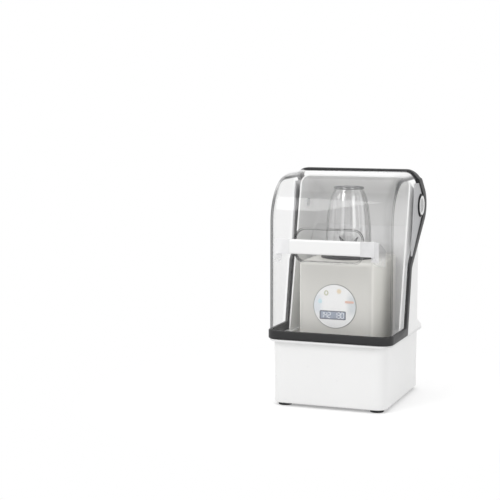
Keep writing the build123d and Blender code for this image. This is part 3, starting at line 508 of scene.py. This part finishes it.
class Finish(Nodes):
    """The node material of one finish."""

    def __init__(self, name):
        self.material = bpy.data.materials.new(name)
        super().__init__(self.material)
        self.place = self.node("TexCoord", output="Object")

    def mix(self, share, first, second):
        """One colour over another by a share."""
        values = {0: share}
        for socket, colour in ((6, first), (7, second)):
            values[socket] = colour if isinstance(colour, Value) else (*colour, 1)
        return self.node("Mix", {"data_type": "RGBA"}, values, output=2)

    def noise(self, scale, detail=2, rough=0.5, stretch=None):
        """Soft noise from 0 to 1 in object space."""
        place = self.place
        if stretch:
            place = self.node("Mapping", values={"Vector": place, "Scale": stretch})
        return self.node(
            "TexNoise",
            values={"Vector": place, "Scale": scale, "Detail": detail, "Roughness": rough},
        )

    def along(self, axis):
        """Place along one axis, in metres."""
        return self.node("SeparateXYZ", values={0: self.place}, output=axis)

    def across(self, axis):
        """How far the surface's normal points along one axis."""
        return self.node(
            "SeparateXYZ", values={0: self.node("TexCoord", output="Normal")}, output=axis
        )

    def facing(self):
        """0 where the surface faces the eye, 1 where it turns away."""
        return self.node("LayerWeight", values={"Blend": 0.5}, output="Facing")

    def from_hinge(self):
        """Distance from the hinge's axis, in metres."""
        y, z = self.along("Y") - HINGE.y, self.along("Z") - HINGE.z
        return (y * y + z * z) ** 0.5

    def relief(self, height, depth, strength=1.0):
        """Normal of a surface whose height varies, with depth in metres."""
        return self.node(
            "Bump", values={"Height": height, "Distance": depth, "Strength": strength}
        )

    def surface(self, shader):
        self.node("OutputMaterial", values={"Surface": shader})
        return self.material

    def solid(self, colour, rough, normal=None, **fixed):
        """A principled surface; fixed values stay on the shader's own sockets."""
        values = {"Base Color": colour if isinstance(colour, Value) else (*colour, 1)}
        values["Roughness"] = rough
        if normal:
            values["Normal"] = normal
        values.update({name.replace("_", " "): value for name, value in fixed.items()})
        return self.node("BsdfPrincipled", values=values)


def shade(colour, factor):
    """A colour made darker or lighter by a factor."""
    return tuple(min(1.0, part * factor) for part in colour)


def moulded(name, colour, rough, grain=2600, depth=0.00002, drift=0.02, **fixed):
    """Moulded plastic: slow colour drift, uneven gloss and a fine texture."""
    f = Finish(name)
    broad = f.noise(11, 2)
    handled = f.noise(70, 3, 0.6)
    fine = f.noise(grain, 2, 0.6)
    colour = f.mix(broad, shade(colour, 1 - drift), shade(colour, 1 + drift))
    gloss = rough + (handled - 0.5) * 0.10 + (fine - 0.5) * 0.05
    return f.surface(f.solid(colour, gloss, f.relief(fine, depth), **fixed))


def rubber(name, colour, rough):
    """Soft black moulding: dusty highs, fine pitting and a matt skin."""
    f = Finish(name)
    pits = f.noise(1900, 3, 0.7)
    dust = f.noise(160, 4, 0.65).between(0.48, 0.8)
    cloud = f.noise(24, 2)
    dusty = shade(colour, 2.6)
    colour = f.mix(cloud, shade(colour, 0.85), shade(colour, 1.2))
    colour = f.mix(dust * 0.22, colour, dusty)
    gloss = rough + (cloud - 0.5) * 0.12 + dust * 0.08
    return f.surface(f.solid(colour, gloss, f.relief(pits, 0.00003)))


def brushed(name, colour, rough, stretch=(1, 1, 40), scale=420):
    """Brushed metal: streaks along the short way of the stretched noise."""
    f = Finish(name)
    streak = f.noise(scale, 3, 0.65, stretch)
    smear = f.noise(30, 2)
    colour = f.mix(streak, shade(colour, 0.86), shade(colour, 1.12))
    gloss = rough + (streak - 0.5) * 0.16 + (smear - 0.5) * 0.08
    return f.surface(f.solid(colour, gloss, f.relief(streak, 0.00001), Metallic=1.0))


def cast(name, colour, rough, metal, scale=900, depth=0.00005):
    """Cast or wound metal with a coarse skin."""
    f = Finish(name)
    lumps = f.noise(scale, 4, 0.65)
    cloud = f.noise(40, 2)
    colour = f.mix(lumps * 0.6 + cloud * 0.4, shade(colour, 0.75), shade(colour, 1.2))
    return f.surface(
        f.solid(colour, rough + (lumps - 0.5) * 0.2, f.relief(lumps, depth), Metallic=metal)
    )


def board(name, colour):
    """Circuit board: dark lacquer with paler tracks in squares."""
    f = Finish(name)
    tracks = f.node(
        "TexBrick",
        values={
            "Vector": f.node("Mapping", values={"Vector": f.place, "Rotation": (pi / 2, 0, 0)}),
            "Scale": 90, "Mortar Size": 0.03, "Color1": (0, 0, 0, 1), "Color2": (0, 0, 0, 1),
            "Mortar": (1, 1, 1, 1),
        },
    )
    colour = f.mix(tracks, shade(colour, 0.8), shade(colour, 2.2))
    gloss = 0.38 + f.noise(120) * 0.1
    return f.surface(f.solid(colour, gloss, f.relief(tracks, 0.00003)))


def clear(name, edge, flat, start, rim, corner=0.0, walls=None, painted_sheen=None):
    """Clear moulding: see-through, glossier where it turns away from the eye, and darker there by painted shade.

    flat and rim are the shares of the dark edge colour: a faint tint on flats, and painted shade along the
    outline, which begins where the surface has turned away by start. corner is the share of painted shade on
    upright corners, walls adds painted shade at the places that its function picks, and the last argument gives
    the share of painted sheen in streaks.
    """
    f = Finish(name)
    facing = f.facing()
    behind = f.node("NewGeometry", output="Backfacing")
    # painted shade along the outline, where the surface turns away from the eye
    outline = facing.between(start, start + 0.14) * rim
    share = flat * (0.6 + 0.8 * f.noise(26, 3))
    # with corner set, painted shade on the rounded upright corners, and the outline's painted shade kept to them
    if corner:
        across = f.across("X")
        square = across * across
        bend = square * (1 - square) * 4
        upright = 1 - abs(f.across("Z")).between(0.25, 0.75)
        outline = outline * upright * bend.between(0.05, 0.30)
        share = share + bend * corner
    share = share + outline
    # painted shade at the places that the walls function picks
    if walls:
        share = share + walls(f)
    gloss = 0.04 + 0.96 * facing ** 5
    # painted sheen in streaks, added to the glossy share
    if painted_sheen:
        gloss = gloss + painted_sheen(f)
    gloss = gloss * (1 - behind)
    sheen = f.node("BsdfGlossy", values={"Color": (1, 1, 1, 1), "Roughness": 0.03})
    through = f.node("BsdfTransparent", values={"Color": (1, 1, 1, 1)})
    pane = f.node("MixShader", values={0: gloss, 1: through, 2: sheen})
    # the dark edge colour, mixed in by share as painted shade and as a faint tint
    dark = f.solid(edge, 0.2)
    seen = f.node("MixShader", values={0: share.least(0.92), 1: pane, 2: dark})
    shadow = f.node("LightPath", output="Is Shadow Ray")
    return f.surface(f.node("MixShader", values={0: shadow, 1: seen, 2: through}))


def pocket_wall_shade(f):
    """Share of painted shade, in the dark edge colour, on the walls of the cover's finger pocket."""
    behind, half, low, high = -0.117, 0.068, 0.284, 0.350  # where the walls end
    fade = 0.002
    level = f.along("Z")
    past = f.along("Y").between(behind, behind + fade / 2)
    past = past.most(abs(f.along("X")).between(half, half + fade))
    within = (1 - past) * level.between(low, low + fade) * (1 - level.between(high, high + fade))
    return within * (1 - abs(f.across("Y"))).between(0.02, 0.5) * 0.55


def flute_streaks(f):
    """Share of pale sheen that follows the vessel's flutes."""
    low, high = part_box("bottle_glass")
    x, y = f.along("X") - (low.x + high.x) / 2, f.along("Y") - (low.y + high.y) / 2
    turn = y.maths("ARCTAN2", x) * 12
    return 0.07 + 0.16 * turn.maths("COSINE").between(0.1, 0.9) + 0.05 * f.noise(60, 2)


def crown_ring_shade(f):
    """Share of painted shade, in the dark edge colour, in the thick ring on top of the vessel, more where it turns
    away from the eye.
    """
    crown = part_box("bottle_glass")[1].z - 0.0050
    return f.along("Z").between(crown, crown + 0.0012) * (0.12 + 0.60 * f.facing())


def frosted(name, colour):
    """Clear moulding with a milky skin, milkier in its front blocks than along its arms."""
    f = Finish(name)
    cloud = f.noise(60, 3)
    grain = f.noise(1500, 2)
    colour = f.mix(cloud, shade(colour, 0.97), colour)
    milk = f.solid(colour, 0.32 + cloud * 0.1, f.relief(grain, 0.00001))
    through = f.node("BsdfTransparent", values={"Color": (1, 1, 1, 1)})
    block_back = -0.1385  # behind it the bracket is a thin arm
    arm = f.along("Y").between(block_back, block_back + 0.002)
    share = (0.68 + 0.12 * cloud) * (1 - 0.78 * arm) + 0.5 * f.facing().between(0.55, 0.95)
    return f.surface(f.node("MixShader", values={0: share.least(0.95), 1: through, 2: milk}))


def ear_plate(name, colour):
    """Satin plate with a black hub round the hinge."""
    f = Finish(name)
    hub = 1 - f.from_hinge().between(HUB_RADIUS, HUB_RADIUS + 0.0006)
    fine = f.noise(2200, 2)
    cloud = f.noise(20, 2)
    colour = f.mix(cloud, shade(colour, 0.94), shade(colour, 1.06))
    colour = f.mix(hub, colour, (0.018, 0.018, 0.020))
    return f.surface(
        f.solid(colour, 0.42 + cloud * 0.08, f.relief(fine, 0.00002), Specular_IOR_Level=0.25)
    )


def hub_cap(name, colour):
    """Pale button with painted shade greying its dished middle."""
    f = Finish(name)
    dish_edge, pale_edge = 0.0125, 0.0160
    shaded_dish = 1 - f.from_hinge().between(dish_edge, pale_edge)
    smear = f.noise(90, 3)
    # painted shade: the dished middle greyed to 0.42 of the pale colour
    colour = f.mix(shaded_dish, colour, shade(colour, 0.42))
    return f.surface(f.solid(colour, 0.22 + smear * 0.1, f.relief(shaded_dish, 0.0008)))


def dial_disc(name, colour):
    """Glossy disc with painted shadow greying a thin ring at its edge, and pale tinted sides."""
    f = Finish(name)
    low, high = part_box("display_dial")
    centre = (low + high) / 2
    x, z = f.along("X") - centre.x, f.along("Z") - centre.z
    radius = (x * x + z * z) ** 0.5
    # painted shadow: a grey ring on the disc's outer edge stands for the shade in the gap round the disc
    frame_edge = high.x - 0.0016
    rim = radius.between(frame_edge, frame_edge + 0.0008)
    sides = abs(x).between(0.020, 0.034) * (1 - abs(z - 0.004).between(0.010, 0.028))
    cloud = f.noise(40, 2)
    tint = f.mix(x.between(-0.01, 0.01), (0.74, 0.79, 0.84), (0.62, 0.66, 0.68))
    colour = f.mix(cloud, shade(colour, 0.97), colour)
    colour = f.mix(sides * 0.75, colour, tint)
    # painted shadow laid on the outer ring in grey
    colour = f.mix(rim, colour, (0.36, 0.36, 0.35))
    return f.surface(f.solid(colour, 0.2 + cloud * 0.08, f.relief(1 - rim, 0.0002)))


def motor_cover(name, colour):
    """Warm grey moulding, with painted light making its sides paler and creamier than its front."""
    f = Finish(name)
    broad, fine = f.noise(11, 2), f.noise(2600, 2, 0.6)
    # painted light: faces turned along X made paler and creamier, to lift them out of shade
    side = abs(f.across("X")).between(0.6, 0.95)
    colour = f.mix(broad, shade(colour, 0.975), shade(colour, 1.025))
    colour = f.mix(side, colour, (0.86, 0.85, 0.80))
    gloss = 0.36 + (broad - 0.5) * 0.10 + (fine - 0.5) * 0.05
    return f.surface(f.solid(colour, gloss, f.relief(fine, 0.00002)))


def screen(name, colour):
    """Liquid crystal window with a darker border."""
    f = Finish(name)
    low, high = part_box("display_window")
    centre, half = (low + high) / 2, (high - low) / 2
    inner, outer = 0.0030, 0.0010  # the border's fade, in from the window's edge
    across = abs(f.along("X") - centre.x).between(half.x - inner, half.x - outer)
    upright = abs(f.along("Z") - centre.z).between(half.z - inner, half.z - outer)
    border = across.most(upright)
    haze = f.noise(130, 3)
    colour = f.mix(haze, shade(colour, 0.9), shade(colour, 1.12))
    colour = f.mix(border, colour, (0.17, 0.18, 0.21))
    return f.surface(f.solid(colour, 0.14 + haze * 0.06))


def marks(name):
    """Printed marks, each key's in its own pale colour, from left to right."""
    f = Finish(name)
    x = f.along("X")
    ink = f.noise(700, 3)
    colour = (0.60, 0.80, 0.86)
    for start, following in (
        (-0.0245, (0.58, 0.58, 0.44)),
        (-0.0055, (0.83, 0.70, 0.50)),
        (0.0175, (0.76, 0.46, 0.36)),
    ):
        colour = f.mix(x.between(start, start + 0.001), colour, following)
    colour = f.mix(ink * 0.3, colour, (0.86, 0.86, 0.86))
    return f.surface(f.solid(colour, 0.3 + ink * 0.1))


def make_finishes(colours):
    """Every finish by the record's slot name."""
    return {
        "white_plastic": moulded("white_gloss", colours.white, 0.30, Coat_Weight=0.15),
        "liner_white": moulded("white_satin", colours.liner, 0.42, depth=0.00003),
        "black_rubber": rubber("foot_rubber", (0.022, 0.022, 0.023), 0.72),
        "trim_black": rubber("edge_trim", colours.black, 0.46),
        "ear_grey": ear_plate("ear_plate", colours.ear),
        # the two clear finishes lay the edge colour as painted shade along outlines, corners, the pocket's walls
        # and the vessel's crown ring
        "clear_plastic": clear(
            "clear_cover", colours.edge, 0.003, 0.42, 0.88, corner=0.08, walls=pocket_wall_shade
        ),
        "vessel_clear": clear(
            "clear_vessel", colours.edge, 0.003, 0.68, 0.85, walls=crown_ring_shade, painted_sheen=flute_streaks
        ),
        "drive_grey": motor_cover("warm_grey", colours.drive),
        "dial_white": dial_disc("display_disc", colours.dial),
        "lcd": screen("screen", colours.screen),
        "key_glass": marks("touch_marks"),
        "board_green": board("circuit_board", (0.03, 0.14, 0.07)),
        "steel": brushed("stainless", (0.60, 0.61, 0.62), 0.28),
        "motor_iron": cast("motor_case", (0.16, 0.17, 0.19), 0.45, 0.6),
        "copper_core": cast("wound_core", (0.42, 0.22, 0.13), 0.5, 0.8),
        "bearing_steel": brushed("bearing_steel", (0.70, 0.70, 0.72), 0.18),
        "heater_alloy": cast("heater_casting", (0.66, 0.66, 0.67), 0.45, 0.9, 1400),
        "coupling_black": rubber("black_nylon", (0.035, 0.035, 0.038), 0.5),
        "brass": brushed("contact_brass", (0.78, 0.58, 0.26), 0.25),
    }


# ---------------------------------------------------------------- pieces


class STERILIZER_OT_finishes(bpy.types.Operator):
    """Dress every CAD node in the finish of its slot"""

    bl_idname = "sterilizer.finishes"
    bl_label = "Finishes"

    def execute(self, context):
        finishes = make_finishes(context.scene.sterilizer_colours)
        for part in frame["record"]["subparts"]:
            mesh = frame["nodes"][part["node"]].data
            mesh.materials.clear()
            mesh.materials.append(finishes[part["material_slot"]])
        for slot, material in finishes.items():
            material["slot"] = slot
        special = {
            "hub_caps": hub_cap("hub_cap", context.scene.sterilizer_colours.white),
            "left_handle_bracket": frosted("frosted_clear", (0.92, 0.92, 0.93)),
        }
        special["right_handle_bracket"] = special["left_handle_bracket"]
        for node, material in special.items():
            frame["nodes"][node].data.materials[0] = material
        return {"FINISHED"}


def finish_of(slot):
    """The material made for a slot."""
    return next(m for m in bpy.data.materials if m.get("slot") == slot)


class STERILIZER_OT_cover(bpy.types.Operator):
    """Model the clear cover with its finger pocket"""

    bl_idname = "sterilizer.cover"
    bl_label = "Clear cover"

    def execute(self, context):
        sizes = context.scene.sterilizer_cover
        piece = hood_form("clear_cover", sizes, 0)
        line = open_edge(sizes, sizes.lip)
        trim_back(line)
        foot = line[0][1]
        split_level(foot)
        pick("FACE", lambda f: middle(f).z < foot)
        bpy.ops.mesh.delete(type="FACE")
        press_pocket(sizes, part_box("cover_shell")[0].y)
        modify(piece, "SOLIDIFY", thickness=sizes.wall, offset=-1, use_even_offset=True)
        finish(
            piece, "cover", "clear_plastic", finish_of("clear_plastic"), "cover_shell", smooth=30
        )
        return {"FINISHED"}


class STERILIZER_OT_trim(bpy.types.Operator):
    """Model the black trim round the cover's open edge"""

    bl_idname = "sterilizer.trim"
    bl_label = "Edge trim"

    def execute(self, context):
        sizes = context.scene.sterilizer_cover
        piece = hood_form("edge_trim", sizes, sizes.trim_proud)
        trim_back(open_edge(sizes, 0))
        inner = open_edge(sizes, sizes.trim_width)
        split_level(inner[0][1])
        trim_back(inner, behind=False)
        thick = sizes.trim_proud + sizes.wall + sizes.trim_inside
        modify(piece, "SOLIDIFY", thickness=thick, offset=-1, use_even_offset=True)
        edit(piece)
        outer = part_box("cover_trim")[1].x - 0.0005
        bands = 8  # the sides swell in steps towards the hinge
        for band in range(bands):
            away = sizes.ear_radius + sizes.swell_reach * (1 - band / bands)
            for side in (1, -1):
                pick(
                    "VERT",
                    lambda v: side * v.co.x > outer
                    and hypot(v.co.y - HINGE.y, v.co.z - HINGE.z) < away,
                )
                bpy.ops.transform.translate(value=(side * sizes.swell / bands, 0, 0))
        modify(
            piece, "BEVEL", width=sizes.trim_round, segments=3, limit_method="ANGLE",
            angle_limit=radians(50),
        )
        finish(piece, "cover", "trim_black", finish_of("trim_black"), "cover_trim", smooth=40)
        return {"FINISHED"}


class STERILIZER_OT_vessel(bpy.types.Operator):
    """Model the clear fluted vessel, upside down on its collar"""

    bl_idname = "sterilizer.vessel"
    bl_label = "Vessel"

    def execute(self, context):
        sizes = context.scene.sterilizer_vessel
        low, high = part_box("bottle_glass")
        axis = (low + high) / 2
        tall = high.z - low.z
        neck_z = high.z - sizes.crown_height
        settle()
        bpy.ops.mesh.primitive_circle_add(
            vertices=4 * sizes.flutes, radius=sizes.mouth, location=(axis.x, axis.y, low.z)
        )
        piece = started("clear_vessel")
        levels = (  # height, radius and how much of the flutes' depth
            (low.z + 0.0080, sizes.mouth, 0.0),
            (low.z + 0.0110, sizes.mouth + 0.0004, 0.0),
            (low.z + 0.19 * tall, sizes.belly, 0.5),
            (low.z + 0.38 * tall, (sizes.belly + sizes.chest) / 2 + 0.0006, 1.0),
            (low.z + 0.56 * tall, sizes.chest, 1.0),
            (low.z + 0.78 * tall, sizes.shoulder, 1.0),
            (low.z + 0.90 * tall, (sizes.shoulder + sizes.neck) / 2, 0.8),
            (neck_z - 0.0015, sizes.neck, 0.0),
            (neck_z, sizes.neck, 0.0),
            (neck_z + 0.0004, sizes.crown - 0.0004, 0.0),
            (neck_z + 0.0012, sizes.crown, 0.0),
            (high.z - 0.0010, sizes.crown, 0.0),
            (high.z, sizes.crown - 0.0010, 0.0),
            (high.z, sizes.neck - 0.0030, 0.0),
            (high.z - 0.0030, sizes.neck - 0.0045, 0.0),
            (high.z - 0.0035, 0.0020, 0.0),
        )
        bpy.ops.mesh.select_all(action="SELECT")
        height, radius = low.z, sizes.mouth
        for next_height, next_radius, _ in levels:
            bpy.ops.mesh.extrude_region_move(
                TRANSFORM_OT_translate={"value": (0, 0, next_height - height)}
            )
            centre = (axis.x, axis.y, next_height)
            grow = next_radius / radius
            bpy.ops.transform.resize(value=(grow, grow, 1), center_override=centre)
            height, radius = next_height, next_radius
        bpy.ops.mesh.edge_face_add()
        for next_height, _, depth in levels:
            if depth:
                pick(
                    "VERT",
                    lambda v: abs(v.co.z - next_height) < NEAR
                    and cos(sizes.flutes * atan2(v.co.y - axis.y, v.co.x - axis.x)) < -0.5,
                )
                pinch = 1 - sizes.flute_depth * depth
                bpy.ops.transform.resize(
                    value=(pinch, pinch, 1), center_override=(axis.x, axis.y, next_height)
                )
        bpy.ops.mesh.select_all(action="SELECT")
        bpy.ops.mesh.normals_make_consistent(inside=False)
        modify(piece, "SUBSURF", levels=2, render_levels=2)
        modify(piece, "SOLIDIFY", thickness=sizes.wall, offset=-1, use_even_offset=True)
        finish(
            piece, "bottle", "vessel_clear", finish_of("vessel_clear"), "bottle_glass", smooth=50
        )
        return {"FINISHED"}


class STERILIZER_OT_wings(bpy.types.Operator):
    """Model the rotor's two rising, twisted wings on their hub"""

    bl_idname = "sterilizer.wings"
    bl_label = "Rotor wings"

    def execute(self, context):
        sizes = context.scene.sterilizer_wings
        low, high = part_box("rotor_wings")
        axis = (low + high) / 2
        foot = Vector((axis.x, axis.y, low.z))
        settle()
        bpy.ops.mesh.primitive_cylinder_add(
            vertices=48, radius=sizes.hub, depth=sizes.hub_height,
            location=foot + Vector((0, 0, sizes.hub_height / 2)),
        )
        hub = started("winged_rotor")
        pick("EDGE", lambda e: abs(e.verts[0].co.z - e.verts[1].co.z) < HAIR)
        bpy.ops.mesh.bevel(offset=sizes.hub_round, segments=3)
        rise = high.z - low.z - sizes.hub_height
        span = high.x - axis.x
        base = foot.z + sizes.lift
        blade = block(
            "blade", (axis.x, axis.y - sizes.width / 2, base),
            (axis.x + span, axis.y + sizes.width / 2, base + sizes.thick),
        )
        stations = 7
        for number in range(1, stations):
            bpy.ops.mesh.select_all(action="SELECT")
            bpy.ops.mesh.bisect(
                plane_co=(axis.x + span * number / stations, 0, 0), plane_no=(1, 0, 0)
            )
        for number in range(1, stations + 1):
            share = number / stations
            x = axis.x + span * share
            pick("VERT", lambda v: abs(v.co.x - x) < NEAR)
            centre = Vector((x, axis.y, base))
            narrow = 1 - 0.85 * share ** 1.8
            bpy.ops.transform.resize(value=(1, narrow, 1), center_override=centre)
            bpy.ops.transform.rotate(
                value=sizes.twist * share, orient_axis="X", center_override=centre
            )
            bpy.ops.transform.translate(value=(-0.10 * span * share, 0, rise * share ** 1.1))
        modify(
            blade, "BEVEL", width=0.0004, segments=2, limit_method="ANGLE",
            angle_limit=radians(50),
        )
        settle()
        bpy.context.view_layer.objects.active = blade
        blade.select_set(True)
        bpy.ops.object.duplicate()
        other = bpy.context.object
        edit(other)
        bpy.ops.mesh.select_all(action="SELECT")
        bpy.ops.transform.rotate(value=pi, orient_axis="Z", center_override=axis)
        piece = joined("winged_rotor", [hub, blade, other])
        dark = brushed("wing_steel", (0.13, 0.13, 0.14), 0.34)
        finish(piece, "rotor", "steel", dark, "rotor_wings", smooth=40)
        return {"FINISHED"}


DIGITS = {"0": "abcdef", "1": "bc", "2": "abged", "3": "abgcd", "4": "fgbc"}
BARS = {  # across and up in half digits, and True for a lying bar
    "a": (0, 1, True), "b": (1, 0.5, False), "c": (1, -0.5, False), "d": (0, -1, True),
    "e": (-1, -0.5, False), "f": (-1, 0.5, False), "g": (0, 0, True),
}
READING = (  # each digit and its middle
    ("1", -0.0257), ("4", -0.0182), ("2", -0.0110), ("1", 0.0022), ("3", 0.0085), ("0", 0.0155),
)


def raised_bar(sizes, face, centre, half, cut, segments=1):
    """A flat bar standing proud of the display's face, its corners cut or rounded."""
    (x, z), (across, up) = centre, half
    bar = block(
        "bar", (x - across, face - sizes.proud, z - up), (x + across, face + sizes.sunk, z + up)
    )
    pick("EDGE", lambda e: runs(e, 1))
    bpy.ops.mesh.bevel(offset=cut, segments=segments, clamp_overlap=False)
    return bar


class STERILIZER_OT_display(bpy.types.Operator):
    """Model the round display, its numbers and its touch marks"""

    bl_idname = "sterilizer.display"
    bl_label = "Display"

    def execute(self, context):
        sizes = context.scene.sterilizer_display
        low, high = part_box("display_dial")
        face = low.y
        centre = (low + high) / 2
        settle()
        bpy.ops.mesh.primitive_cylinder_add(
            vertices=128, radius=high.x, depth=high.y - low.y, location=centre,
            rotation=(pi / 2, 0, 0),
        )
        disc = started("display_disc")
        pick("FACE", lambda f: f.normal.y < -0.99)
        bpy.ops.mesh.inset(thickness=sizes.frame_width)
        bpy.ops.mesh.inset(thickness=sizes.frame_step)
        bpy.ops.transform.translate(value=(0, sizes.frame_step, 0))
        pick(
            "EDGE",
            lambda e: all(v.co.y < face + HAIR for v in e.verts)
            and any(abs(f.normal.y) < 0.1 for f in e.link_faces),
        )
        bpy.ops.mesh.bevel(offset=0.0005, segments=3)
        finish(disc, "base", "dial_white", finish_of("dial_white"), "display_dial")
        self.numbers(sizes, face)
        self.touch_marks(sizes, centre, face)
        return {"FINISHED"}

    def numbers(self, sizes, face):
        """Numbers made of copies of one bar with pointed ends, and two dots."""
        low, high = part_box("display_window")
        level = (low.z + high.z) / 2
        half, tall = sizes.digit_width / 2, sizes.digit_height / 2
        width = sizes.stroke / 2
        bars = []
        for number, place in READING:
            for letter in DIGITS[number]:
                side, up, lying = BARS[letter]
                reach = (half if lying else tall / 2) - sizes.gap
                size = (reach, width) if lying else (width, reach)
                spot = (place + side * half, level + up * tall)
                bars.append(raised_bar(sizes, face, spot, size, width * 0.9))
        (_, first), (_, second) = READING[:2]
        dots = (first + second) / 2 + sizes.dot_shift
        for up in (0.35, -0.35):
            spot = (dots, level + up * tall)
            bars.append(raised_bar(sizes, face, spot, (width, width), width * 0.5, segments=2))
        piece = joined("screen_numbers", bars)
        white = moulded("screen_white", (0.86, 0.88, 0.92), 0.25)
        finish(piece, "base", "dial_white", white, smooth=30)

    def touch_marks(self, sizes, centre, face):
        """One generic mark on each touch key."""
        keys = {kind: centre + Vector((x, 0, z)) for kind, (x, z) in KEY_SPOTS.items()}
        spot, half = keys["bar"], (sizes.bar / 2, sizes.bar_height / 2)
        marks = [raised_bar(sizes, face, (spot.x, spot.z), half, sizes.bar_round, segments=5)]
        thick = 0.001
        for kind, width, corners in (
            ("flower", sizes.flower, 16), ("drop", sizes.drop, 16), ("ring", sizes.ring, 24),
        ):
            key = keys[kind]
            settle()
            bpy.ops.mesh.primitive_cylinder_add(
                vertices=corners, radius=width / 2, depth=thick,
                location=(key.x, face - sizes.proud + thick / 2, key.z),
                rotation=(pi / 2, 0, 0),
            )
            mark = started("mark")
            spot = (key.x, face, key.z)
            if kind == "flower":
                pick("VERT", lambda v: cos(8 * atan2(v.co.z - key.z, v.co.x - key.x)) < 0)
                bpy.ops.transform.resize(value=(0.55, 1, 0.55), center_override=spot)
            elif kind == "drop":
                pick("VERT", lambda v: v.co.z > key.z + width * 0.44)
                bpy.ops.transform.resize(value=(0.15, 1, 1), center_override=spot)
                bpy.ops.transform.translate(value=(0, 0, width * 0.28))
            else:
                bpy.ops.mesh.select_all(action="SELECT")
                bpy.ops.transform.resize(value=(1, 1, 1.2), center_override=spot)
                pick("FACE", lambda f: abs(f.normal.y) > 0.9)
                bpy.ops.mesh.inset(thickness=width * 0.26)
                bpy.ops.mesh.bridge_edge_loops()
            marks.append(mark)
        piece = joined("touch_marks", marks)
        finish(piece, "base", "key_glass", finish_of("key_glass"), "touch_keys", smooth=30)


class STERILIZER_OT_stage(bpy.types.Operator):
    """Set the floor, the lamps and the camera"""

    bl_idname = "sterilizer.stage"
    bl_label = "Stage"

    def execute(self, context):
        settle()
        bpy.ops.mesh.primitive_plane_add(size=24, location=(0, 0, 0))
        floor = context.object
        floor.name = "floor"
        f = Finish("pale_floor")
        grey = f.mix(f.noise(3), (0.78, 0.78, 0.78), (0.80, 0.80, 0.80))
        paper = f.solid(grey, 0.9, Specular_IOR_Level=0.0)
        seen = f.in_view()
        glow = f.node("Emission", values={"Color": (1, 1, 1, 1), "Strength": seen * 0.28})
        near = f.node("AddShader", values={0: paper, 1: glow})
        away = f.node("VectorMath", {"operation": "LENGTH"}, {0: f.place}, output="Value")
        fade = away.between(0.20, 0.55) * seen  # shadows near the feet, plain white beyond
        white = f.node("Emission", values={"Color": (1, 1, 1, 1), "Strength": 1.0})
        both = f.node("MixShader", values={0: fade, 1: near, 2: white})
        floor.data.materials.append(f.surface(both))

        world = bpy.data.worlds.new("studio")
        context.scene.world = world
        sky = Nodes(world)
        light = {"Color": (1, 1, 1, 1), "Strength": 0.75 + 0.25 * sky.in_view()}
        sky.node("OutputWorld", values={"Surface": sky.node("Background", values=light)})

        aim = Vector((0, 0, 0.2))
        for name, place, size, power in (
            ("key", (-1.5, -2.2, 2.4), 1.6, 29.0),
            ("fill", (2.4, -1.6, 1.4), 2.0, 11.0),
            ("top", (0.0, 0.3, 3.0), 2.2, 17.0),
        ):
            bpy.ops.object.light_add(type="AREA", location=place)
            lamp = context.object
            lamp.name = name
            lamp.data.size = size
            lamp.data.energy = power
            way = aim - lamp.location
            lamp.rotation_euler = way.to_track_quat("-Z", "Y").to_euler()

        bpy.ops.object.camera_add(
            location=(0.7678, -2.5609, 0.609), rotation=(radians(83.34), 0, radians(20.83))
        )
        camera = context.object
        camera.data.lens = 97.13
        camera.data.sensor_width = 36
        context.scene.camera = camera
        context.scene.view_settings.view_transform = "Standard"
        return {"FINISHED"}


class STERILIZER_PT_panel(bpy.types.Panel):
    """Sidebar list of the sizes, colours and pieces"""

    bl_idname = "STERILIZER_PT_panel"
    bl_label = "Bottle sterilizer"
    bl_space_type = "VIEW_3D"
    bl_region_type = "UI"
    bl_category = "Sterilizer"

    def draw(self, context):
        layout = self.layout
        for group in (getattr(context.scene, name) for name in GROUPS):
            for name in group.__annotations__:
                layout.prop(group, name)
        for step in STEPS:
            layout.operator(step.bl_idname)


STEPS = (
    STERILIZER_OT_finishes,
    STERILIZER_OT_cover,
    STERILIZER_OT_trim,
    STERILIZER_OT_vessel,
    STERILIZER_OT_wings,
    STERILIZER_OT_display,
    STERILIZER_OT_stage,
)
GROUPS = {
    "sterilizer_cover": CoverSizes,
    "sterilizer_vessel": VesselSizes,
    "sterilizer_wings": WingSizes,
    "sterilizer_display": DisplaySizes,
    "sterilizer_colours": Colours,
}
CLASSES = (*GROUPS.values(), *STEPS, STERILIZER_PT_panel)


def register():
    for kind in CLASSES:
        bpy.utils.register_class(kind)
    for name, kind in GROUPS.items():
        setattr(bpy.types.Scene, name, bpy.props.PointerProperty(type=kind))


def unregister():
    for name in GROUPS:
        delattr(bpy.types.Scene, name)
    for kind in reversed(CLASSES):
        bpy.utils.unregister_class(kind)


def main():
    """Makes every piece and the stage."""
    register()
    for step in STEPS:
        group, name = step.bl_idname.split(".")
        getattr(getattr(bpy.ops, group), name)()


if __name__ == "__main__":
    main()
